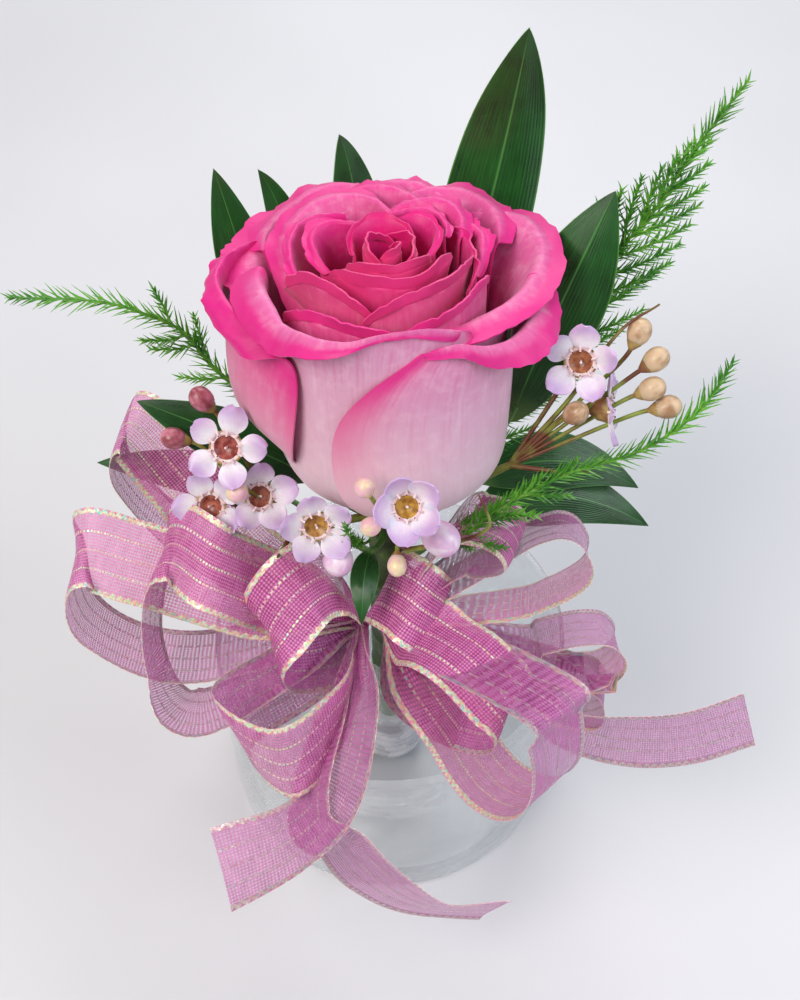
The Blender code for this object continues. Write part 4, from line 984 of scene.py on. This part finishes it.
def waxFlower(bm, centre, way, reach, gold, closing, chance):
    place = facing(Vector(centre), way) @ Matrix.Rotation(chance.uniform(0, 1.2), 4, "Z")
    metric = Matrix.Scale(mm, 4) @ place
    tint = bm.verts.layers.float.get("gold") or bm.verts.layers.float.new("gold")
    cupRim = reach * wax["cupShare"]
    # the calyx tube, and the nectar disc in it
    before = set(bm.faces)
    tube = (
        (0.55, -4.4), (0.9, -3.6), (cupRim * 0.8, -2.0), (cupRim, -0.4), (cupRim * 1.04, 0.25),
        (cupRim * 0.94, 0.3), (cupRim * 0.9, -0.25),
    )
    ring = spun(bm, tube, wax["steps"])
    bottom = [edge for edge in openEdges(ring) if max(vert.co.z for vert in edge.verts) < -4]
    bmesh.ops.contextual_create(bm, geom=bottom)
    tagged(bm, before, waxSlots.index("calyx"))
    bmesh.ops.transform(bm, matrix=metric, verts=ring)
    before = set(bm.faces)
    disc = ((0.95, 0.15), (0.87, 0.3), (0.74, 0.15), (0.6, -0.35), (0.3, -0.8), (0, -0.95))
    bowl = spun(bm, [(cupRim * out, height) for out, height in disc], wax["steps"], 0.002)
    for vert in bowl:
        vert[tint] = gold
    tagged(bm, before, waxSlots.index("disc"))
    for face in bm.faces:
        if face not in before and face.calc_center_median().xy.length > cupRim * 0.7:
            face.material_index = waxSlots.index("stamen")
    bmesh.ops.transform(bm, matrix=metric, verts=bowl)
    # five rounded petals, cupped as far as the flower is closed
    for k in range(wax["petals"]):
        turn = Matrix.Rotation(math.radians(360 / wax["petals"] * k + chance.uniform(-4, 4)), 4, "Z")
        lift = closing * 1.05 + chance.uniform(-0.08, 0.12)
        size = reach * chance.uniform(0.94, 1.04)

        def petal(u, v, turn=turn, lift=lift, size=size):
            # a round petal on a short claw, from the cup's rim outwards
            half = max(0.02, math.sin(math.pi * (0.09 + 0.87 * v**1.15))) ** 0.66
            half *= size * (0.34 + 0.2 * closing)
            flat = cupRim * 0.9 + (size - cupRim * 0.8) * v
            rise = 0.25 + lift * (flat - cupRim) * (0.6 + 0.5 * v)
            rise += 0.25 * math.sin(3 * u + k) - 0.5 * u * u * v * (1 - 2 * closing)
            rise += 0.7 * v * v if closing > 0.5 else 0.2 * v
            reachOut = cupRim + (flat - cupRim) * math.cos(lift * 0.8)
            # a closed petal bends round the disc
            bend = u * half / max(reachOut, 1.5) * closing
            aside = u * half * (1 - closing)
            local = Matrix.Rotation(bend, 4, "Z") @ Vector((reachOut, aside, rise))
            return place @ (turn @ local)

        made = sheet(bm, petal, *wax["petalGrid"])
        bmesh.ops.remove_doubles(bm, verts=made, dist=0.004 * mm)
        faces = list({face for vert in made if vert.is_valid for face in vert.link_faces})
        bmesh.ops.solidify(bm, geom=faces, thickness=wax["petalThickness"] * mm)
    # a ring of stamens bent inwards over the disc, each with a dark anther, and the style
    for k in range(wax["stamens"]):
        turn = Matrix.Rotation(math.radians(360 / wax["stamens"] * k + 12), 4, "Z")
        tip = cupRim * (0.80 if k % 2 else 0.68)
        points = ((cupRim * 0.98, 0, 0.1), (cupRim * 1.04, 0, 0.7), (tip, 0, 1.1))
        line = [place @ (turn @ Vector(point)) for point in points]
        before = set(bm.faces)
        stalk(bm, line, 0.36, 0.15, sides=5)
        tagged(bm, before, waxSlots.index("stamen"))
        before = set(bm.faces)
        dot = bmesh.ops.create_icosphere(bm, subdivisions=1, radius=0.16 * mm)["verts"]
        bmesh.ops.translate(bm, vec=line[-1] * mm, verts=dot)
        tagged(bm, before, waxSlots.index("anther"))
    before = set(bm.faces)
    style = ((0, 0, -0.6), (0.1, 0, 0.4), (0.15, 0.1, 1.3))
    stalk(bm, [place @ Vector(point) for point in style], 0.22, 0.16)
    knob = bmesh.ops.create_icosphere(bm, subdivisions=2, radius=0.24 * mm)["verts"]
    bmesh.ops.translate(bm, vec=(place @ Vector((0.15, 0.1, 1.35))) * mm, verts=knob)
    tagged(bm, before, waxSlots.index("stamen"))


def waxBud(bm, centre, way, radius, material):
    # a plump bud with five folded petals, in a small cup
    place = facing(Vector(centre) * mm, way) @ Matrix.Scale(radius * mm, 4)
    bm.loops.layers.uv.verify()
    before = set(bm.faces)
    ball = bmesh.ops.create_uvsphere(bm, u_segments=30, v_segments=18, radius=1, calc_uvs=True)["verts"]
    for vert in ball:
        turn = math.atan2(vert.co.y, vert.co.x)
        belly = 1 - 0.035 * (1 - vert.co.z**2) * (0.5 + 0.5 * math.cos(5 * turn + 2.2 * vert.co.z)) ** 4
        vert.co = Vector((vert.co.x * belly, vert.co.y * belly, vert.co.z * (1.12 if vert.co.z > 0 else 1.3)))
    tagged(bm, before, material)
    before = set(bm.faces)
    profile = ((0.16, -1.75), (0.34, -1.5), (0.62, -1.1), (0.72, -0.82), (0.6912, -0.72), (0.504, -0.9))
    holder = spun(bm, profile, wax["budSteps"])
    bmesh.ops.holes_fill(bm, edges=openEdges(holder), sides=0)
    tagged(bm, before, waxSlots.index("calyx"))
    bmesh.ops.transform(bm, matrix=place, verts=[*ball, *holder])


def buildSprays():
    paints = makeWax()
    for number, (node, ((height, azimuth), fork, flowers, buds, slips)) in enumerate(sprays.items()):
        chance = random.Random(57 + number)
        start, out = stemPort(height, azimuth)
        fork = Vector(fork)
        bm = bmesh.new()
        before = set(bm.faces)
        bend = [start, start + out * 5, fork.lerp(start, 0.35), fork]
        stalk(bm, [bezier(bend, k / 16) for k in range(17)], 0.85, 0.7, sides=8)
        for centre, way, reach, _, _ in flowers:
            foot = Vector(centre) - Vector(way).normalized() * 4.3
            bend = [fork, fork.lerp(foot, 0.4), foot - Vector(way) * 4, foot]
            stalk(bm, [bezier(bend, k / 14) for k in range(15)], 0.42, 0.5, sides=8)
        for centre, growth, radius, _ in buds:
            way = Vector(growth).normalized()
            foot = Vector(centre) - way * (radius * 1.7)
            bend = [fork, fork.lerp(foot, 0.5), foot - way * 3, foot]
            stalk(bm, [bezier(bend, k / 14) for k in range(15)], 0.36, 0.42, sides=8)
        for slip in slips:
            stalk(bm, pathThrough(slip, 24), 0.55, 0.18)
        tagged(bm, before, waxSlots.index("twig"))
        for centre, way, reach, gold, closing in flowers:
            waxFlower(bm, centre, way, reach, gold, closing, chance)
        for centre, growth, radius, paint in buds:
            waxBud(bm, centre, growth, radius, waxSlots.index(paint))
        piece = finished(node.replace("wax_spray", "waxFlowers"), bm, paints, 60)
        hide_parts(node)
    print("wax flower sprays made")


# Ribbon bow: the middle of its pinch, then each loop as stations from the pinch round and back to it, each
# the middle of the ribbon and the way of its width. The bright face of the listed loops is inside. Tails run
# to their cuts.

def banded(way, *points):
    # stations whose width keeps one direction
    return [(*point, *way) for point in points]


ribbon = {
    "width": 16.0, "knot": (-3, -7.6, 63), "rootShift": 2.2, "rootSpread": (0, -0.9, 0.7), "steps": 160,
    "pleats": 3, "gatherReach": 0.42, "thickness": 0.11, "grid": (18, 96),
    # the lighter thread tint of each face is painted glint of the weave
    "bright": {"ground": ("de48a6", "f476c4"), "threadAndGlint": "ffc2ea", "cover": 0.34, "metal": 0.75},
    "plain": {"ground": ("ac469e", "ca6cb8"), "threadAndGlint": "e2aada", "cover": 0.28, "metal": 0.4},
    "glint": (
        (0.0, "e8b878"), (0.30, "fffaea"), (0.45, "c8f0b8"), (0.55, "f8b8a0"), (0.66, "fff6d8"),
        (0.82, "9ce4dc"), (1.0, "fff1c4"),
    ),
    "plainOutside": ("right_up_far", "right_mid", "right_back", "low_right", "tail_centre", "tail_right"),
    "loops": {
        "left_back": (
            (-28, 5, 65, -0.49, -0.69, -0.54), (-41, 16, 78, -0.49, -0.69, -0.54),
            (-51, 22, 88, -0.28, -0.95, -0.13), (-54, 19, 76, 0, -0.95, 0.31), (-39, 11, 62, 0, -0.95, 0.31),
        ),
        "left_far": (
            (-26, -8, 71, -0.2, -0.77, -0.6), (-47.8, -5, 78.6, -0.07, -0.82, -0.57),
            (-58.9, -3.6, 79.7, -0.18, -0.82, -0.54), (-59, -8, 63, 0, -0.95, 0.31),
            (-40, -11, 54, 0, -0.95, 0.31),
        ),
        "left_near": (
            (-20, -9, 73, -0.35, -0.74, -0.58), (-31.4, -11.8, 86.1, -0.13, -0.82, -0.56),
            (-41.7, -5.2, 83.5, -0.34, -0.69, -0.63), (-46, -15, 62, 0, -0.91, 0.42),
            (-36, -24, 55, 0, -0.91, 0.42),
        ),
        "front_arch": (
            (-10, -8, 78, 0.45, -0.7, -0.55), (-16, -14, 83, 0.45, -0.7, -0.55),
            (-22, -19, 76, 0.38, -0.73, -0.57), (-19, -17, 66, 0.3, -0.75, -0.58),
            (-11, -13, 62, 0.3, -0.75, -0.58),
        ),
        "front_ring": (
            (-18, -18, 60, 0.4, -0.35, -0.85), (-30, -29, 61, 0.4, -0.35, -0.85),
            (-19, -41, 66, 0.18, -0.41, -0.89), (-9, -31, 65, -0.05, -0.45, -0.89),
            (-6, -19, 62, -0.05, -0.45, -0.89),
        ),
        "centre_up": (
            (-1.1, -6.5, 72.4, 0.44, 0.81, 0.38), (2.4, -11.4, 77.5, 0.4, 0.76, 0.52),
            (6.1, -14.7, 77.4, 0.39, 0.77, 0.52), (9.1, -14.1, 72.8, 0.41, 0.76, 0.51),
            (7.9, -10.7, 66.5, 0.41, 0.86, 0.3), (1.8, -8.4, 64.6, 0.38, 0.77, 0.51),
        ),
        "right_up": banded(
            (0.35, 0.91, -0.24), (11.7, -0.3, 84.1), (15.3, -0.9, 87.3), (19.4, -2.3, 88.1),
            (22.5, -3.7, 87.2), (24, -4.9, 85), (23.4, -5.2, 82.9), (19.7, -4.4, 80.3), (15.2, -3.3, 77.8),
        ),
        "right_up_far": banded(
            (0.08, 0.85, -0.52), (18.7, -2.3, 74.7), (23.3, -0.8, 77.9), (26.9, 0.3, 80.2),
            (29.9, 0.8, 81.5), (33, 0.9, 82.2), (36.1, 0, 81.1), (38.2, -2.2, 77.8), (37.6, -3.8, 75.2),
            (35, -4.9, 72.9), (30.4, -6, 70.5), (23.6, -6.9, 68),
        ),
        "right_mid": banded(
            (-0.01, 0.87, -0.5), (25.2, -11.9, 60.9), (29.9, -11.2, 62), (34.7, -10.5, 63.1),
            (38.2, -10.2, 63.5), (41.8, -10.3, 63.4), (44, -11, 62.1), (45.1, -12.1, 60.2),
            (44.4, -13.2, 58.2), (42.2, -14.2, 56.5), (39.4, -14.5, 56), (33.8, -14.7, 55.9),
            (26.5, -14, 57.2),
        ),
        "front_right": (
            (3.7, -13.8, 70.5, 0.48, 0.74, 0.48), (9.3, -19.2, 73.9, 0.42, 0.9, -0.1),
            (15.6, -24.8, 74.6, 0.49, 0.87, -0.01), (22, -31.4, 70.7, 0.35, 0.92, 0.17),
            (19.1, -30.2, 64.1, 0.32, 0.94, 0.14), (12.1, -25.8, 61.1, 0.36, 0.92, 0.13),
            (4.9, -18.4, 60.6, 0.43, 0.77, 0.47),
        ),
        "low_right": banded(
            (0.65, 0.7, -0.31), (9.1, -26.4, 64), (12.8, -30.9, 61.6), (16.1, -35.4, 58.4),
            (20.1, -39.8, 56.8), (24.3, -43.1, 58.1), (27.6, -44.6, 61.8), (29.6, -44.3, 66.6),
            (30.1, -42.5, 71.5), (29.3, -39.6, 76.4), (27.7, -36, 81),
        ),
        "right_back": banded(
            (0.14, 0.83, -0.54), (28.2, -19.3, 56.2), (32.8, -21.4, 54.1), (37.1, -22.5, 53.6),
            (40.6, -22.6, 54.2), (41.7, -21.4, 56.5), (41, -19.7, 58.8), (38.6, -18.5, 60),
            (33.5, -17.4, 60.4),
        ),
    },
    "tails": {
        "tail_left": (
            (-5.7, -20.6, 66.5, 0.32, -0.49, 0.81), (-6, -33, 66.9, 0.56, -0.19, 0.81),
            (-10.5, -45, 60.1, 0.68, -0.45, 0.58), (-18.1, -50.9, 55.5, 0.66, -0.63, 0.4),
            (-30.8, -54.3, 50.3, 0.71, -0.71, 0.01),
        ),
        "tail_centre": (
            (-14.7, -43.5, 56.2, -0.51, 0.12, -0.85), (-7.8, -51.1, 52.8, -0.49, 0.11, -0.87),
            (-1.7, -54.4, 45.2, -0.4, 0.1, -0.91), (7.4, -55.7, 36.5, -0.34, 0.22, -0.91),
            (20.7, -54, 31.5, 0.42, 0.17, -0.89),
        ),
        "tail_right": (
            (26.4, -22.8, 59.7, -0.08, 0.16, -0.98), (34.8, -27.9, 55.7, 0.02, 0.05, -1),
            (46.2, -30.1, 55.2, 0.19, -0.15, -0.97), (57.5, -30.1, 56.5, 0.21, -0.19, -0.96),
            (68.6, -27.8, 59.5, 0.18, -0.2, -0.96),
        ),
    },
}


def ribbonSheet(stations, isLoop, isPlain, number):
    knot, spread = Vector(ribbon["knot"]), Vector(ribbon["rootSpread"])
    root = knot + Vector((ribbon["rootShift"] if stations[0][0] > knot.x else -ribbon["rootShift"], 0, 0))
    rows = [(*(root + spread), *stations[0][3:]), *stations]
    if isLoop:
        rows.append((*(root - spread), *stations[-1][3:]))
    steps = ribbon["steps"]
    line = [curveAt(rows, k / steps) for k in range(steps + 1)]
    middle = [Vector(row[:3]) for row in line]
    reach = max((point - knot).length for point in middle)
    half = ribbon["width"] / 2
    # the bright face looks out of a loop; a tail shows its plain one
    k = steps // 2
    centre = sum(middle, Vector()) / len(middle)
    looks = Vector(line[k][3:]).cross(middle[k + 1] - middle[k - 1]).dot(middle[k] - centre)
    turned = 1 if (looks > 0) != isPlain else -1

    def pointAt(u, v):
        place = min(0.9999, v) * steps
        k = int(place)
        here = middle[k].lerp(middle[k + 1], place - k)
        along = (middle[min(k + 2, steps)] - middle[max(0, k - 1)]).normalized()
        across = Vector(line[k][3:]).lerp(Vector(line[k + 1][3:]), place - k) * turned
        across = (across - along * across.dot(along)).normalized()
        over = along.cross(across)
        gather = 0.12 + 0.88 * ease((here - knot).length / (ribbon["gatherReach"] * reach))
        # what the gathering takes from the width goes into pleats, so that the cloth keeps its size
        fold = half / ribbon["pleats"] * math.sqrt(max(0.0, 1 - gather**2))
        saw = math.asin(math.sin(math.pi * (u * ribbon["pleats"] + 0.3 * number))) / (math.pi / 2)
        curl = 0.4 * abs(u) ** 6 + 0.2 * math.sin(6 * v + 2 * u + number) * gather
        return here + across * (u * half * gather) + over * (saw * fold * 0.45 + curl * gather)

    length = sum((b - a).length for a, b in zip(middle, middle[1:]))
    return pointAt, length


def makeOrganza(name, side):
    look = ribbon[side]
    board = Board(
        name, Sheen_Weight=0.35, Sheen_Roughness=0.3, Sheen_Tint=colour("ffc2e0"), Specular_IOR_Level=0.6,
        IOR=1.45,
    )
    across, along = board.sheetPlace()
    length = board.painted("cloth")  # millimetres along the ribbon
    width = across * ribbon["width"]
    edge = abs(across - 0.5) * 2
    # the weave: fine warp and weft, about 1.6 threads to the millimetre each way
    warp = (width * 10.2).sine() * 0.5 + 0.5
    weft = (length * 10.2 + (width * 0.9).sine() * 0.3).sine() * 0.5 + 0.5
    threadAndGlint = board.ease(warp + weft, 0.7, 1.5)
    uneven = board.grain(board.point(width * 0.25, length * 0.9, 0.0), 1.0, 1)
    # metal thread: a band along each margin and three thin dotted lines
    selvedge = board.ease(edge, 0.845, 0.865)
    lines = [board.ease(1 - abs(across - place) * 54, 0.1, 0.5) for place in (0.28, 0.5, 0.72)]
    dots = board.ease((length * 6.2).sine(), -0.6, 0.0)
    patchy = board.ease(board.grain(board.point(width * 0.12, length * 0.05, 3.0), 1.6, 0), 0.40, 0.60)
    thin = (lines[0] + lines[1] + lines[2]) * dots * (0.60 + patchy * 0.40)
    braid = board.ease((width * 4.2 + (length * 3.4).sine() * 1.4).sine(), -0.6, 0.2)
    metal = board.ease(selvedge * (0.40 + braid * 0.60) + thin, 0.0, 1.0)
    scales = {"Vector": board.point(width * 2.6, length * 2.1, 0.0), "Scale": 1.0}
    cell = board.add("TexVoronoi", {"voronoi_dimensions": "2D"}, scales, out="Color")
    tone = board.add("SeparateColor", values={0: cell}, out=0)
    drift = board.grain(board.point(width * 0.3, length * 0.16, 7.0), 1.0, 1)
    glint = board.add("ValToRGB", {"stops": ribbon["glint"]}, {0: tone * 0.45 + drift * 0.62})
    if side == "plain":
        glint = board.blend(0.55, glint, "bd84b4")
    organza = board.blend(board.ease(uneven, 0.3, 0.7), *look["ground"])
    # painted glint: the threads are painted lighter than the ground, as the weave catching the light
    organza = board.blend(threadAndGlint * 0.42, organza, look["threadAndGlint"])
    board.wire("Base Color", board.blend(metal, organza, glint))
    board.wire("Metallic", metal * 0.2)
    board.wire("Roughness", 0.42 - metal * board.ease(tone, 0.35, 0.9) * 0.24)
    body = 0.32 + threadAndGlint * look["cover"] + board.ease(edge, 0.965, 0.985) * 0.35
    board.wire("Alpha", board.ease(body + metal * look["metal"], 0.0, 1.0))
    board.emboss(threadAndGlint * 0.3 + metal * tone * 1.2, 0.5, 0.00025)
    return board.material


def buildBow():
    bm = bmesh.new()
    total = 0.0
    for number, (name, stations) in enumerate([*ribbon["loops"].items(), *ribbon["tails"].items()]):
        plainOut = name in ribbon["plainOutside"]
        pointAt, length = ribbonSheet(stations, name in ribbon["loops"], plainOut, number)
        begun = total
        cloth = {"cloth": lambda u, v, begun=begun, length=length: begun + v * length}
        sheet(bm, pointAt, *ribbon["grid"], paint=cloth)
        total += length
    shiny, plain = makeOrganza("organzaBright", "bright"), makeOrganza("organzaPlain", "plain")
    bow = finished("ribbonBow", bm, [shiny, plain], recalculate=False)
    thickened(bow, ribbon["thickness"])
    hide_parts("ribbon_bow")
    ribbon["width"] * mm
    total * mm
    print("bow made,", round(total), "mm of ribbon")


# Studio

studio = {
    "camera": (0.0021, -0.1631, 0.3003), "tilt": 38.0, "lens": 51.6,
    "lights": (
        ((-0.35, -0.30, 0.62), 0.38, 3.9, "fff6ee"),
        ((0.42, -0.12, 0.46), 0.34, 1.8, "f2f6ff"),
        ((0.05, 0.50, 0.50), 0.40, 2.2, "ffffff"),
    ),
    "world": ("dfe3ea", 0.30), "floor": 3.0,
}


def buildStudio():
    bm = bmesh.new()
    bmesh.ops.create_grid(bm, x_segments=4, y_segments=4, size=studio["floor"])
    mesh = bpy.data.meshes.new("studioFloor")
    bm.to_mesh(mesh)
    bm.free()
    mesh.materials.append(twoTone("studioFloor", "d3d4d8", "dadbdf", 6, 2, Roughness=0.6))
    floor = bpy.data.objects.new("studioFloor", mesh)
    bpy.context.scene.collection.objects.link(floor)
    aim = Vector((0, 0, 0.09))
    for number, (place, size, power, shade) in enumerate(studio["lights"]):
        lamp = bpy.data.lights.new("softbox" + str(number), "AREA")
        lamp.shape = "SQUARE"
        lamp.size = size
        lamp.energy = power
        lamp.color = colour(shade)[:3]
        holder = bpy.data.objects.new(lamp.name, lamp)
        holder.location = place
        holder.rotation_euler = (Vector(place) - aim).to_track_quat("Z", "Y").to_euler()
        bpy.context.scene.collection.objects.link(holder)
    world = bpy.data.worlds.new("studio")
    world.use_nodes = True
    sky = world.node_tree.nodes["Background"]
    sky.inputs["Color"].default_value = colour(studio["world"][0])
    sky.inputs["Strength"].default_value = studio["world"][1]
    bpy.context.scene.world = world
    lens = bpy.data.cameras.new("camera")
    lens.lens = studio["lens"]
    lens.sensor_width = 36
    lens.clip_start = 0.01
    camera = bpy.data.objects.new("camera", lens)
    camera.location = studio["camera"]
    camera.rotation_euler = (math.radians(studio["tilt"]), 0, 0)
    bpy.context.scene.collection.objects.link(camera)
    bpy.context.scene.camera = camera
    bpy.context.scene.view_settings.view_transform = "Standard"
    print("studio made")


buildStudio()
buildCup()
buildStem()
buildRose()
buildLeaves()
buildFerns()
buildSprays()
buildBow()
